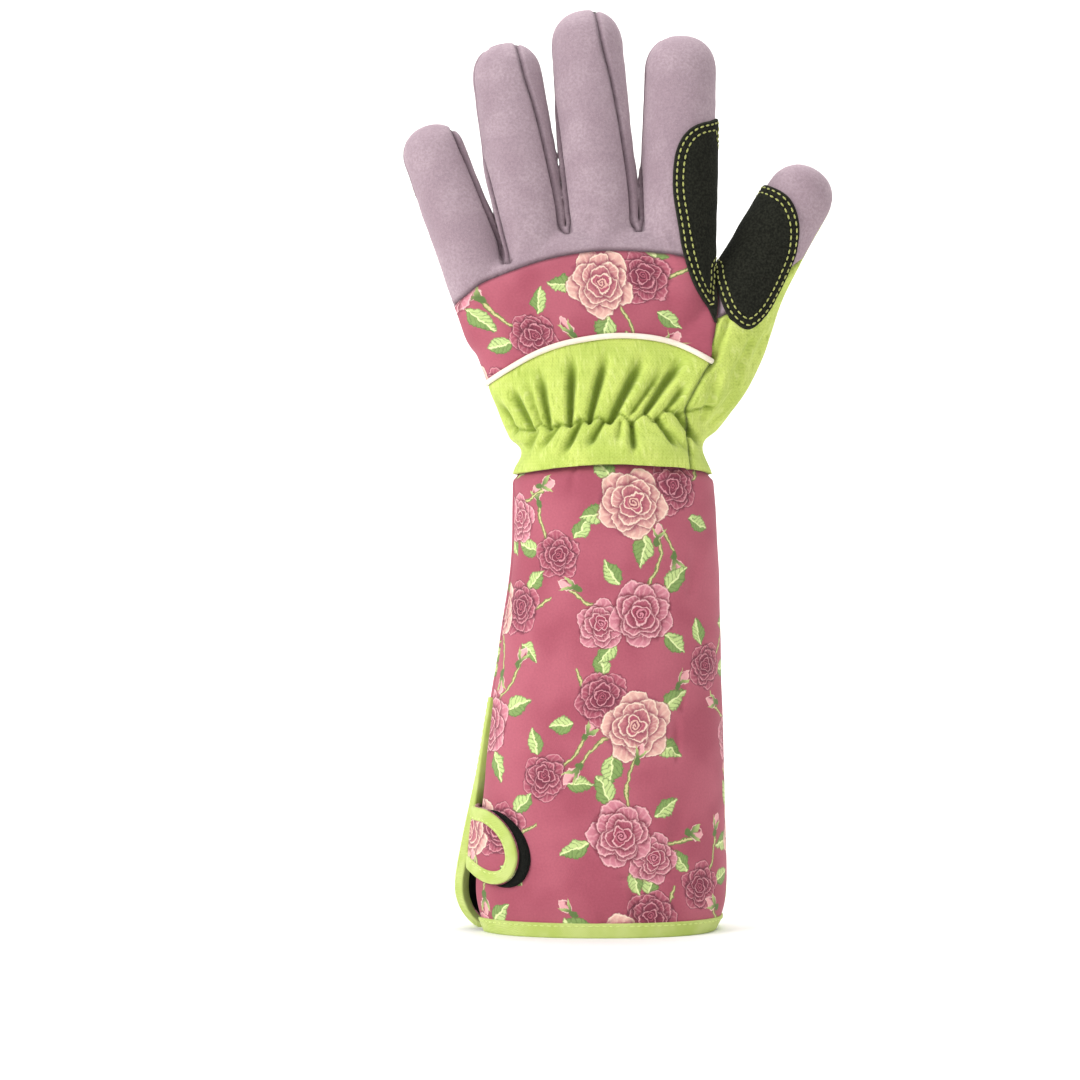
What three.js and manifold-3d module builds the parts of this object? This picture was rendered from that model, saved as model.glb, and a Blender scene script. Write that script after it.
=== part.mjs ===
// A left-hand rose pruning gauntlet, as a hand fills it: suede fingers and palm, a printed back, a gathered
// wrist, a long printed cuff with a side slit and a closing tab, and padded wear patches. Millimetres.
// +Z runs from the cuff to the fingertips, +X to the thumb, and -Y out of the back of the hand.
// The origin is the middle of the wrist, on the elastic line.
import * as THREE from 'three';
import { mergeVertices } from 'three/addons/utils/BufferGeometryUtils.js';
import Module from 'manifold-3d';

const wasm = await Module();
wasm.setup();

// Driving sizes
const PALM_LENGTH = 93;
const PALM_WIDTH = 108;
const PALM_DEPTH = 36;
const WRIST_WIDTH = 84.6;
const WRIST_DEPTH = 58;
const WRIST_DROP = 13.6;
const FINGER_LENGTH = 114.6;
const FINGER_RADIUS = 15.1;
const FINGER_CURL = 8;
const THUMB_LENGTH = 96;
const THUMB_RADIUS = 14;
const THUMB_REACH = 10;
const CUFF_LENGTH = 193;
const HEM_WIDTH = 109;
const HEM_DEPTH = 76;
const SUEDE_WALL = 1.6;
const CUFF_WALL = 3;
const PATCH_WALL = 1.2;
const PIPING_WIDTH = 2.4;
const PIPING_RISE = 0.9;
const BINDING_WIDTH = 6.4;
const SLIT_BINDING = 4.5;
const BINDING_RISE = 0.5;
const SLIT_LENGTH = 95;
const SLIT_GAPE = 12;
const SLIT_FLARE = 5;
const TAB_LENGTH = 24;
const TAB_WIDTH = 34;
const TAB_WALL = 1.8;
const TAB_BINDING = 5;
const ELASTIC_HEIGHT = 6.8;
const GATHERS = 11;
const GATHER_DEPTH = 2.6;
const GATHER_RISE = 26;
const GATHER_DROP = 14;
const ELASTIC_PINCH = 1.6;
const GAP = 0.3;

// Depth of a finger's section as a share of its width
const FINGER_DEPTH_SHARE = 0.9;
// How far the forms run past the cuts that end them, and how far a cutting region reaches
const OVERRUN = 1;
const FAR = 4 * CUFF_LENGTH;

// Sections of the hand, from the cuff up to the webs. up is a share of PALM_LENGTH (of WRIST_DROP below the
// wrist), wide and deep are shares of the way from the wrist's size to the palm's, and across of PALM_WIDTH.
const HAND_ROWS = [
  { up: -1, wide: 0, deep: 0, across: 0.018 },
  { up: 0, wide: -0.08, deep: 0.24, across: -0.002 },
  { up: 0.13, wide: 0.21, deep: 0.58, across: -0.017 },
  { up: 0.26, wide: 0.45, deep: 0.8, across: -0.034 },
  { up: 0.39, wide: 0.66, deep: 0.93, across: -0.052 },
  { up: 0.62, wide: 1, deep: 1.02, across: -0.09 },
  { up: 0.8, wide: 1.06, deep: 1.12, across: -0.095 },
  { up: 0.93, wide: 0.9, deep: 1.42, across: -0.088 },
  { up: 0.985, wide: 0.5, deep: 1.95, across: -0.08 },
];
const LITTLE_SIDE_DROP = 0.17;
const BODY_SQUARENESS = 2.35;

// Fingers: foot is where the axis starts inside the palm, as shares of PALM_WIDTH and PALM_LENGTH, reach a
// share of FINGER_LENGTH from there to the centre of the tip, lean in degrees towards the little finger, cap
// the length of the tip patch as a share of FINGER_LENGTH, and seam where the back seam ends at the tip, as
// tip and base are, a share of FINGER_RADIUS.
const FINGERS = [
  { name: 'little', foot: [-0.438, 0.527], reach: 0.676, lean: 20,
    tip: 0.89, base: 0.92, cap: 0.26, seam: 0.7 },
  { name: 'ring', foot: [-0.259, 0.573], reach: 0.9, lean: 8.3,
    tip: 0.98, base: 1, cap: 0.31, seam: 0.3 },
  { name: 'middle', foot: [0.004, 0.591], reach: 0.999, lean: 4.65,
    tip: 1, base: 1.03, cap: 0.36, seam: 0.2 },
  { name: 'index', foot: [0.254, 0.591], reach: 0.903, lean: -2.05,
    tip: 1, base: 1.03, cap: 0.32, seam: 0 },
];

// The thumb, from its root in the heel of the hand to its tip: along is a share of THUMB_LENGTH, and round a
// share of THUMB_RADIUS, as aside is, the bow away from the fingers.
const THUMB_ROWS = [
  { along: 0, round: 1.79, aside: 0 },
  { along: 0.2, round: 1.76, aside: 0.06 },
  { along: 0.36, round: 1.46, aside: 0.2 },
  { along: 0.57, round: 1.11, aside: 0.18 },
  { along: 0.8, round: 1.05, aside: 0.08 },
  { along: 1, round: 1.03, aside: 0.03 },
];
const THUMB_FOOT = { across: 0.273, up: 0.247, lean: -32.7, depthShare: 0.82, forward: 0.3 };

// Sections of the cuff, from the wrist down: down is a share of CUFF_LENGTH, flare of the way from the
// wrist's width to the hem's, deep of the way from the wrist's depth to the hem's, across of HEM_WIDTH. Near
// the hem both sides draw in: thumbIn and littleIn are shares of HEM_WIDTH.
const CUFF_ROWS = [
  { down: 0, flare: 0, deep: 0, across: 0.018, thumbIn: 0, littleIn: 0 },
  { down: 0.06, flare: 0.04, deep: 0.12, across: 0.021, thumbIn: 0, littleIn: 0 },
  { down: 0.19, flare: 0.12, deep: 0.28, across: 0.025, thumbIn: 0, littleIn: 0 },
  { down: 0.33, flare: 0.31, deep: 0.47, across: 0.013, thumbIn: 0, littleIn: 0 },
  { down: 0.49, flare: 0.5, deep: 0.66, across: -0.003, thumbIn: 0, littleIn: 0 },
  { down: 0.6, flare: 0.66, deep: 0.76, across: -0.015, thumbIn: 0, littleIn: 0 },
  { down: 0.71, flare: 0.8, deep: 0.86, across: -0.024, thumbIn: 0, littleIn: 0 },
  { down: 0.81, flare: 0.92, deep: 0.93, across: -0.031, thumbIn: 0, littleIn: 0 },
  { down: 0.9, flare: 1, deep: 0.98, across: -0.037, thumbIn: 0, littleIn: 0.002 },
  { down: 0.94, flare: 1, deep: 0.99, across: -0.037, thumbIn: 0.004, littleIn: 0.015 },
  { down: 0.97, flare: 0.99, deep: 1, across: -0.037, thumbIn: 0.018, littleIn: 0.042 },
  { down: 1, flare: 0.98, deep: 1, across: -0.037, thumbIn: 0.046, littleIn: 0.092 },
];
const CUFF_SQUARENESS = 2.15;

// Long soft creases of the cuff: at is the angle round it in degrees from the thumb side, top and foot are
// shares of CUFF_LENGTH, wide is degrees, deep in millimetres is a share of CUFF_WALL.
const CUFF_CREASES = [
  { at: -58, top: 0.0, foot: 0.16, wide: 7, deep: 0.35 },
  { at: -78, top: 0.0, foot: 0.12, wide: 6, deep: 0.3 },
  { at: -40, top: 0.3, foot: 0.75, wide: 9, deep: 0.35 },
  { at: -66, top: 0.84, foot: 1.0, wide: 8, deep: 0.4 },
  { at: 95, top: 0.1, foot: 0.7, wide: 10, deep: 0.35 },
  { at: 60, top: 0.3, foot: 0.9, wide: 9, deep: 0.3 },
];

// Outlines on the hand, as shares of PALM_WIDTH across and PALM_LENGTH up. Back ones are seen from behind
// the hand, palm ones are in the same frame and so seen through it.
const YOKE_EDGE = [
  [-0.8, 0.5], [-0.596, 0.626], [-0.483, 0.714], [-0.357, 0.772], [-0.231, 0.816],
  [-0.081, 0.845], [0.044, 0.853], [0.169, 0.845], [0.289, 0.83], [0.42, 0.79],
];
const PIPING_EDGE = [
  [-0.8, 0.02], [-0.477, 0.255], [-0.395, 0.313], [-0.295, 0.378], [-0.194, 0.423],
  [-0.094, 0.448], [0.006, 0.463], [0.106, 0.463], [0.207, 0.448], [0.295, 0.415], [0.41, 0.345],
];
const CROTCH_EDGE = [[0.7, 1.4], [0.44, 0.84], [0.414, 0.758], [0.43, 0.66], [0.425, 0.56]];
const BAND_EDGE = [[0.413, 0.457], [0.406, 0.357], [0.362, 0.274], [0.323, 0.192], [0.3, 0.12],
  [0.31, 0], [0.33, -0.2]];
const THUMB_SEAM = [[0.4, 0.54], [0.555, 0.624], [0.704, 0.753], [0.746, 0.801], [0.95, 0.98]];
const PALM_SEAM = [[0.88, 1.08], [0.824, 0.975], [0.752, 0.83], [0.618, 0.638], [0.518, 0.389],
  [0.348, 0.182], [0.16, -0.09], [0.11, -0.2]];

const INDEX_PATCH_BACK = [
  [0.52, 1.47], [0.395, 1.45], [0.31, 1.4], [0.262, 1.3], [0.25, 1.14], [0.268, 0.98], [0.292, 0.83],
  [0.33, 0.7], [0.385, 0.6], [0.44, 0.535], [0.6, 0.8],
];
const INDEX_PATCH_PALM = [
  [0.52, 1.4], [0.38, 1.33], [0.325, 1.2], [0.31, 1.05], [0.325, 0.9], [0.35, 0.77],
  [0.385, 0.69], [0.6, 0.8],
];
const THUMB_PATCH_BACK = [
  [0.42, 0.79], [0.49, 1.02], [0.58, 1.19], [0.64, 1.165], [0.715, 1.1], [0.75, 0.99], [0.74, 0.86],
  [0.69, 0.72], [0.62, 0.57], [0.555, 0.5], [0.5, 0.52], [0.448, 0.6],
];
const THUMB_PATCH_PALM = [
  [0.4, 0.72], [0.49, 1.12], [0.655, 1.14], [0.63, 1.0], [0.575, 0.88], [0.505, 0.76], [0.455, 0.69],
];
const PALM_PATCH = [
  [0.3, 0.7], [0.276, 0.76], [0.154, 0.803], [0.1, 0.88], [0.05, 0.95], [0, 0.965], [-0.045, 0.92],
  [-0.07, 0.83], [-0.107, 0.81], [-0.15, 0.86], [-0.185, 0.945], [-0.233, 0.965], [-0.275, 0.92],
  [-0.3, 0.83], [-0.34, 0.79], [-0.385, 0.8], [-0.43, 0.84], [-0.48, 0.83], [-0.51, 0.75],
  [-0.49, 0.5], [-0.43, 0.28], [-0.36, 0.08], [-0.3, 0.0], [-0.24, 0.0], [-0.21, 0.06],
  [-0.2, 0.28], [-0.144, 0.375], [-0.072, 0.43], [0.022, 0.5], [0.107, 0.555], [0.219, 0.596], [0.295, 0.64],
];
const PALM_SLOT = [
  [-0.21, 0.64], [-0.235, 0.675], [-0.3, 0.685], [-0.7, 0.69], [-0.7, 0.59], [-0.3, 0.6], [-0.235, 0.61],
];
const HEEL_PATCH = [
  [0.177, 0.513], [0.125, 0.511], [0.05, 0.478], [-0.019, 0.417], [-0.117, 0.252], [-0.142, 0.127],
  [-0.119, 0.044], [-0.06, 0.005], [0.005, 0.01], [0.074, 0.072], [0.164, 0.196],
  [0.208, 0.362], [0.207, 0.472],
];

// The tab's outline seen from behind the hand, as shares of TAB_LENGTH across from the slit's edge and of
// TAB_WIDTH down from its top.
const TAB_OUTLINE = [
  [-0.6, 0.02], [0, 0], [0.19, 0.03], [0.42, 0.15], [0.6, 0.33], [0.69, 0.53], [0.69, 0.71], [0.585, 0.89],
  [0.41, 0.985], [0.19, 1], [-0.02, 0.94], [-0.28, 0.81], [-0.6, 0.78],
];
const TAB_PLACE = { across: -0.503, down: 0.734 };
const LOOP_PAD_SHIFT = { across: 0.22, down: 0.03 };

// Geometry helpers
const mix = (a, b, t) => a + (b - a) * t;
const signedPower = (v, p) => Math.sign(v) * Math.abs(v) ** p;

function smooth(lo, hi, v) {
  const t = Math.min(1, Math.max(0, (v - lo) / (hi - lo)));
  return t * t * (3 - 2 * t);
}

function columnAt(rows, key, at, column) {
  const last = rows.length - 1;
  const sign = rows[last][key] > rows[0][key] ? 1 : -1;
  let i = 0;
  while (i < last - 1 && sign * (at - rows[i + 1][key]) > 0) i += 1;
  const t = (at - rows[i][key]) / (rows[i + 1][key] - rows[i][key]);
  return mix(rows[i][column], rows[i + 1][column], t);
}

function solid(geometry) {
  const bare = geometry.clone();
  bare.deleteAttribute('normal');
  bare.deleteAttribute('uv');
  const merged = mergeVertices(bare, 1e-4);
  return new wasm.Manifold(new wasm.Mesh({
    numProp: 3,
    vertProperties: new Float32Array(merged.attributes.position.array),
    triVerts: new Uint32Array(merged.index.array),
  }));
}

function geometryOf(manifold) {
  const mesh = manifold.getMesh();
  const geometry = new THREE.BufferGeometry();
  geometry.setAttribute('position', new THREE.BufferAttribute(new Float32Array(mesh.vertProperties), 3));
  geometry.setIndex(new THREE.BufferAttribute(new Uint32Array(mesh.triVerts), 1));
  geometry.computeVertexNormals();
  return geometry;
}

// The panel itself, without the slivers that a cut leaves beside it.
function largest(manifold) {
  return manifold.decompose().sort((a, b) => b.volume() - a.volume())[0];
}

// Moves every vertex of a unit shape round the Y axis: place is given its X, Z and Y, and says where it goes.
function reshape(geometry, place) {
  const position = geometry.attributes.position;
  for (let i = 0; i < position.count; i += 1) {
    const to = place(position.getX(i), position.getZ(i), position.getY(i));
    position.setXYZ(i, to[0], to[1], to[2]);
  }
  return geometry;
}

// A loft is a cylinder whose rings take their place from surface(cos, sin, share up). Its X and Z become X
// and -Y, so that its faces keep pointing out.
function loft(sides, rows, surface) {
  return reshape(
    new THREE.CylinderGeometry(1, 1, 1, sides, rows),
    (c, s, up) => surface(c, -s, up + 0.5),
  );
}

const onPalm = ([across, up]) => new THREE.Vector2(across * PALM_WIDTH, up * PALM_LENGTH);

function smoothed(points, closed, count) {
  const curve = new THREE.CatmullRomCurve3(points.map((p) => new THREE.Vector3(p.x, p.y, 0)), closed);
  return curve.getPoints(count).map((p) => new THREE.Vector2(p.x, p.y));
}

const openCurve = (points) => smoothed(points, false, Math.round(1.5 * points.length));
const closedCurve = (points) => smoothed(points, true, Math.round(1.1 * points.length)).slice(1);

// A prism with its outline in X and Z, between two depths.
function prism(outline, nearY = -FAR, farY = FAR) {
  const geometry = new THREE.ExtrudeGeometry(new THREE.Shape(outline), {
    depth: farY - nearY, bevelEnabled: false, steps: 1,
  });
  return solid(geometry.rotateX(Math.PI / 2).translate(0, farY, 0));
}

// A prism with its outline in Y and Z, running along X.
function sidePrism(outline, lowX = -FAR, highX = FAR) {
  const turn = new THREE.Matrix4().makeBasis(
    new THREE.Vector3(0, 1, 0), new THREE.Vector3(0, 0, 1), new THREE.Vector3(1, 0, 0),
  );
  const geometry = new THREE.ExtrudeGeometry(new THREE.Shape(outline), {
    depth: highX - lowX, bevelEnabled: false, steps: 1,
  });
  return solid(geometry.applyMatrix4(turn).translate(lowX, 0, 0));
}

// The hand's form
function handHeight(up) {
  return up < 0 ? up * (WRIST_DROP + OVERRUN) : up * PALM_LENGTH;
}

// The folds of the wrist: those above the elastic lie half a fold aside from those below it.
function gatherAt(x, z) {
  const rise = (z - ELASTIC_HEIGHT) / GATHER_RISE;
  const drop = (ELASTIC_HEIGHT - z) / GATHER_DROP;
  const spread = 1 + 0.08 * Math.max(0, rise);
  const slant = 0.1 * Math.max(0, rise) * Math.max(0, x);
  const phase = (x / spread - slant) * GATHERS / WRIST_WIDTH + (rise > 0 ? 0 : 0.5);
  const above = smooth(0, 0.2, rise) * (1 - smooth(0.55, 1, rise));
  const below = smooth(0, 0.35, drop) * (1 - smooth(0.6, 1, drop)) * 0.6;
  const pinch = ELASTIC_PINCH * (1 - smooth(0, 0.25, Math.abs(rise)));
  return GATHER_DEPTH / 2 * Math.cos(2 * Math.PI * phase) * (above + below) - pinch;
}

function handPoint(c, s, up, grow, gathers) {
  const wide = columnAt(HAND_ROWS, 'up', up, 'wide');
  const deep = columnAt(HAND_ROWS, 'up', up, 'deep');
  const centre = columnAt(HAND_ROWS, 'up', up, 'across') * PALM_WIDTH;
  const halfWidth = mix(WRIST_WIDTH, PALM_WIDTH, wide) / 2 + grow;
  const halfDepth = mix(WRIST_DEPTH, PALM_DEPTH, deep) / 2 + grow;
  const x = centre + halfWidth * signedPower(c, 2 / BODY_SQUARENESS);
  const drop = 1 - LITTLE_SIDE_DROP * smooth(0.62, 1, up) * smooth(0.1, 0.5, -x / PALM_WIDTH);
  const z = handHeight(up) * drop + (up > 0.9 ? grow : 0);
  const out = gathers ? gatherAt(x, z) * smooth(0, 0.35, -s) : 0;
  return [x, (halfDepth + out) * signedPower(s, 2 / BODY_SQUARENESS), z];
}

function handBody(grow) {
  const last = HAND_ROWS.length - 1;
  return solid(loft(22, last, (c, s, share) => {
    const up = HAND_ROWS[Math.round(share * last)].up;
    return handPoint(c, s, up, grow, false);
  }));
}

// The wrist's own fine loft: most of its sides are on the back, where the gathers are.
function gatheredWrist(grow) {
  const rows = 7;
  const top = 0.52;
  const rowsBelow = 0.3;
  const backShare = 0.85;
  const geometry = new THREE.CylinderGeometry(1, 1, 1, 50, rows);
  return solid(reshape(geometry, (x, z, y) => {
    const radius = Math.hypot(x, z);
    const turn = (Math.atan2(-z, x) / (2 * Math.PI) + 1) % 1;
    const spread = turn < 1 - backShare ? turn / (1 - backShare) / 2 : 1 - (1 - turn) / backShare / 2;
    const angle = spread * 2 * Math.PI;
    const share = y + 0.5;
    const up = share < rowsBelow ? share / rowsBelow - 1 : top * (share - rowsBelow) / (1 - rowsBelow);
    return handPoint(radius * Math.cos(angle), radius * Math.sin(angle), up, grow, true);
  }));
}

function axisFrom([across, up], leanDegrees, length) {
  const lean = THREE.MathUtils.degToRad(leanDegrees);
  const along = new THREE.Vector2(-Math.sin(lean), Math.cos(lean));
  return { foot: onPalm([across, up]), along, across: new THREE.Vector2(along.y, -along.x), length };
}

const fingerAxis = (finger) => axisFrom(finger.foot, finger.lean, finger.reach * FINGER_LENGTH);
const thumbAxis = () => axisFrom([THUMB_FOOT.across, THUMB_FOOT.up], THUMB_FOOT.lean, THUMB_LENGTH);

// The place beside an axis: share runs along it, and side across it.
function beside({ foot, along, across, length }, share, side) {
  return foot.clone().addScaledVector(along, share * length).addScaledVector(across, side);
}

// A tapered tube with round ends round an axis. radiusAt, asideAt and forwardAt take the share along it.
function stall(axis, { radiusAt, asideAt, forwardAt, depthShare }, sides, steps) {
  const geometry = new THREE.CapsuleGeometry(1, 2, 2, sides, steps);
  return solid(reshape(geometry, (x, z, y) => {
    const straight = Math.min(1, Math.max(-1, y));
    const share = (straight + 1) / 2;
    const radius = radiusAt(share);
    const reach = share + (y - straight) * radius / axis.length;
    const centre = beside(axis, reach, x * radius + asideAt(share));
    return [centre.x, -z * radius * depthShare + forwardAt(reach), centre.y];
  }));
}

const CURL_START = 0.3;
const curlAt = (share) => FINGER_CURL * (Math.max(0, share - CURL_START) / (1 - CURL_START)) ** 2;
const thumbForward = (share) => THUMB_REACH * mix(THUMB_FOOT.forward, 1, share);

function fingerForm(finger, grow) {
  return stall(fingerAxis(finger), {
    radiusAt: (share) => mix(finger.base, finger.tip, share) * FINGER_RADIUS + grow,
    asideAt: () => 0,
    forwardAt: curlAt,
    depthShare: FINGER_DEPTH_SHARE,
  }, 12, 3);
}

function thumbForm(grow) {
  return stall(thumbAxis(), {
    radiusAt: (share) => columnAt(THUMB_ROWS, 'along', share, 'round') * THUMB_RADIUS + grow,
    asideAt: (share) => columnAt(THUMB_ROWS, 'along', share, 'aside') * THUMB_RADIUS,
    forwardAt: thumbForward,
    depthShare: THUMB_FOOT.depthShare,
  }, 12, 5);
}

const handForms = new Map();
function handForm(grow) {
  if (!handForms.has(grow)) {
    const pieces = [handBody(grow), ...FINGERS.map((f) => fingerForm(f, grow)), thumbForm(grow)];
    handForms.set(grow, wasm.Manifold.union(pieces));
  }
  return handForms.get(grow);
}

// The wrist is open below: the inner form runs past the cut that ends the hand.
function openShell(outside, inside) {
  const floor = GAP / 2 - WRIST_DROP;
  return outside.subtract(inside).subtract(below(floor));
}

function below(height) {
  return prism([
    new THREE.Vector2(-FAR, -FAR), new THREE.Vector2(FAR, -FAR),
    new THREE.Vector2(FAR, height), new THREE.Vector2(-FAR, height),
  ]);
}

const layer = (low, high) => handForm(high).subtract(handForm(low));

// What lies behind the fingers' side seams, which follow the curl of the middle finger, or of any other.
function behindFingers(shift, finger = FINGERS[2]) {
  const { foot, along, length } = fingerAxis(finger);
  const shares = [0, 0.3, 0.5, 0.65, 0.8, 0.9, 1, 1.3];
  const edge = shares.map((share) => new THREE.Vector2(
    curlAt(share) + shift, foot.y + share * length * along.y,
  ));
  return sidePrism([
    new THREE.Vector2(-FAR, -FAR), new THREE.Vector2(shift, -FAR), ...edge, new THREE.Vector2(-FAR, FAR),
  ]);
}

// What lies behind the thumb's side seam, which follows the thumb's lean to the palm.
function behindThumb(shift) {
  const axis = thumbAxis();
  const edge = [0, 1, 1.4].map((share) => new THREE.Vector2(
    thumbForward(share) + shift, beside(axis, share, 0).y,
  ));
  return sidePrism([
    new THREE.Vector2(-FAR, -FAR), new THREE.Vector2(shift, -FAR), new THREE.Vector2(shift, 0), ...edge,
    new THREE.Vector2(-FAR, FAR),
  ]);
}

// Regions
const column = (points) => points.map(onPalm);
const shifted = (points, dx, dz) => points.map((p) => new THREE.Vector2(p.x + dx, p.y + dz));
const anticlockwise = (points) => (THREE.ShapeUtils.area(points) < 0 ? [...points].reverse() : points);

function aboveCurve(points, lift) {
  const edge = shifted(openCurve(column(points)), 0, lift);
  return prism([
    ...edge, new THREE.Vector2(FAR, edge.at(-1).y), new THREE.Vector2(FAR, FAR),
    new THREE.Vector2(-FAR, FAR), new THREE.Vector2(-FAR, edge[0].y),
  ]);
}

function thumbwardOf(points, shift) {
  const edge = shifted(openCurve(column(points)), shift, 0);
  return prism(anticlockwise([
    ...edge, new THREE.Vector2(FAR, edge.at(-1).y), new THREE.Vector2(FAR, edge[0].y),
  ]));
}

const thumbRegion = (shift) => thumbwardOf([...CROTCH_EDGE, ...BAND_EDGE], shift);
const limePalmRegion = (shift) => thumbwardOf(PALM_SEAM, shift);

// The strip between two fingers runs up the first one's thumb side, towards the back, and up the second
// one's other side, towards the palm. Between the two it dips over the web in a narrow U.
const FOURCHETTE_SHARES = [0, 0.35, 0.62, 0.85, 1, 1.3];
const BACK_SEAM_FOOT = 0.5;
const BACK_SEAM_LOW = 0.84;
const BACK_SEAM_HOLD = [1, 0.88, 0.6, 0.31, 0];
const PALM_SEAM_IN = [0.5, 0.84, 0.74, 0.66, 0.55, 0.4];
const WEB_PLACE = { share: 0.3, side: 1.1 };
const FOURCHETTE_DIP = 0.035;
const FOURCHETTE_LAP = 0.08;
function fourchetteRegion(first, second, grow) {
  const a = fingerAxis(first);
  const b = fingerAxis(second);
  const seam = (axis, shares, sign) => shares.map((side, i) => beside(
    axis, FOURCHETTE_SHARES[i], sign * (side * FINGER_RADIUS - grow),
  ));
  const lean = a.along.clone().add(b.along).normalize();
  const inner = WEB_PLACE.side * FINGER_RADIUS;
  const web = beside(a, WEB_PLACE.share, inner).add(beside(b, WEB_PLACE.share, -inner)).multiplyScalar(0.5);
  const floor = webHeight(web.x) - FOURCHETTE_DIP * PALM_LENGTH - grow;
  const brim = webHeight(web.x) + FINGER_RADIUS + grow;
  const middleAt = (z, side) => new THREE.Vector2(web.x + (z - web.y) * lean.x / lean.y + side, z);
  const top = web.y + 1.3 * FINGER_LENGTH;
  const lap = FOURCHETTE_LAP * FINGER_RADIUS + grow;
  const strip = (edge, sign) => prism(anticlockwise([
    middleAt(edge[0].y, sign * lap), middleAt(top, sign * lap), ...edge.reverse(),
  ])).subtract(below(floor));
  const backSeam = [BACK_SEAM_FOOT, ...BACK_SEAM_HOLD.map((hold) => mix(first.seam, BACK_SEAM_LOW, hold))];
  const behind = strip(seam(a, backSeam, 1), 1).intersect(behindFingers(lap + 0.2 * FINGER_RADIUS));
  const ahead = strip(seam(b, PALM_SEAM_IN, -1), -1).subtract(behindFingers(-grow));
  const dip = prism(anticlockwise([
    middleAt(floor, -lap), middleAt(floor, lap), middleAt(brim, 2 * lap), middleAt(brim, -2 * lap),
  ]));
  return behind.add(ahead).add(dip);
}

function webHeight(x) {
  const drop = 1 - LITTLE_SIDE_DROP * smooth(0.1, 0.5, -x / PALM_WIDTH);
  return PALM_LENGTH * HAND_ROWS.at(-1).up * drop;
}

const [little, ring, middle, index] = FINGERS;
const PAIRS = [[little, ring], [ring, middle], [middle, index]];

// Materials
function cloth(colour, roughness) {
  return new THREE.MeshStandardMaterial({ color: colour, roughness, metalness: 0 });
}
const suede = cloth('#a5909b', 0.95);
const print = cloth('#b0596c', 0.8);
const lime = cloth('#d2e572', 0.9);
const cream = cloth('#f0e2c8', 0.7);
const black = cloth('#2b2b27', 0.95);

const gauntlet = new THREE.Group();
function add(name, manifold, material) {
  const mesh = new THREE.Mesh(geometryOf(largest(manifold)), material);
  mesh.name = name;
  gauntlet.add(mesh);
}

// Hand panels
const half = GAP / 2;
const shell = openShell(handForm(0), handForm(-SUEDE_WALL));
const wristShell = openShell(gatheredWrist(0), gatheredWrist(-SUEDE_WALL));
const fourchetteRoom = wasm.Manifold.union(PAIRS.map(([a, b]) => fourchetteRegion(a, b, half)));
const backOfHand = behindFingers(-half).subtract(thumbRegion(-half));
const backOfThumb = behindThumb(-half).intersect(thumbRegion(half));
const allBehind = behindFingers(half).add(behindThumb(half).intersect(thumbRegion(-half)));
const pipingHalf = PIPING_WIDTH / 2;

const yoke = shell.intersect(backOfHand).intersect(aboveCurve(YOKE_EDGE, half)).subtract(fourchetteRoom);
const backPanel = shell.intersect(backOfHand).subtract(aboveCurve(YOKE_EDGE, -half))
  .intersect(aboveCurve(PIPING_EDGE, pipingHalf + GAP));
const piping = openShell(handForm(PIPING_RISE), handForm(-SUEDE_WALL)).intersect(backOfHand)
  .intersect(aboveCurve(PIPING_EDGE, -pipingHalf)).subtract(aboveCurve(PIPING_EDGE, pipingHalf));
const wristBand = wristShell.intersect(backOfHand).subtract(aboveCurve(PIPING_EDGE, -pipingHalf - GAP));
const thumbBack = shell.intersect(backOfThumb).intersect(aboveCurve(THUMB_SEAM, half));
const limeBack = behindThumb(GAP).intersect(thumbRegion(half)).subtract(aboveCurve(THUMB_SEAM, -half));
const limePalm = limePalmRegion(half).subtract(behindThumb(half));
const palmPanel = shell.subtract(allBehind).subtract(limePalmRegion(-half)).subtract(fourchetteRoom);

add('palm_panel', palmPanel, suede);
add('finger_yoke', yoke, suede);
PAIRS.forEach(([a, b]) => add(
  `fourchette_${a.name}_${b.name}`, shell.intersect(fourchetteRegion(a, b, -half)), suede,
));
add('thumb_back', thumbBack, suede);
add('thumb_gusset', shell.intersect(limeBack.add(limePalm)), lime);
add('back_panel', backPanel, print);
add('wrist_band', wristBand, lime);
add('back_piping', piping, cream);

// Wear patches, laid on the outside of the hand
const patchLayer = layer(GAP, GAP + PATCH_WALL);
const within = (outline) => prism(anticlockwise(closedCurve(column(outline))));
function sidePatch(back, palm, behind) {
  return patchLayer.intersect(within(back).intersect(behind(GAP)).add(within(palm).subtract(behind(0))));
}

const BEYOND_TIP = 1.5;
const TIP_PATCH_SET_BACK = 2.2;
function tipPatch(finger) {
  const axis = fingerAxis(finger);
  const low = 1 + (FINGER_RADIUS - finger.cap * FINGER_LENGTH) / axis.length;
  const reach = FINGER_RADIUS + 2 * PATCH_WALL;
  const corners = [[low, -reach], [low, reach], [BEYOND_TIP, reach], [BEYOND_TIP, -reach]];
  const tip = prism(anticlockwise(corners.map(([share, side]) => beside(axis, share, side))));
  return patchLayer.intersect(tip).subtract(behindFingers(TIP_PATCH_SET_BACK, finger));
}

const indexPatch = sidePatch(INDEX_PATCH_BACK, INDEX_PATCH_PALM, behindFingers);
const thumbPatch = sidePatch(THUMB_PATCH_BACK, THUMB_PATCH_PALM, behindThumb);
const palmFace = patchLayer.subtract(behindFingers(0.12 * PALM_DEPTH));
add('index_patch', indexPatch.subtract(thumbRegion(-half)), black);
add('thumb_patch', thumbPatch.intersect(thumbRegion(half)), black);
FINGERS.forEach((finger) => add(`${finger.name}_tip_patch`, tipPatch(finger), black));
add('palm_patch', palmFace.intersect(within(PALM_PATCH)).subtract(within(PALM_SLOT)), black);
add('heel_patch', palmFace.intersect(within(HEEL_PATCH)), black);

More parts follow.
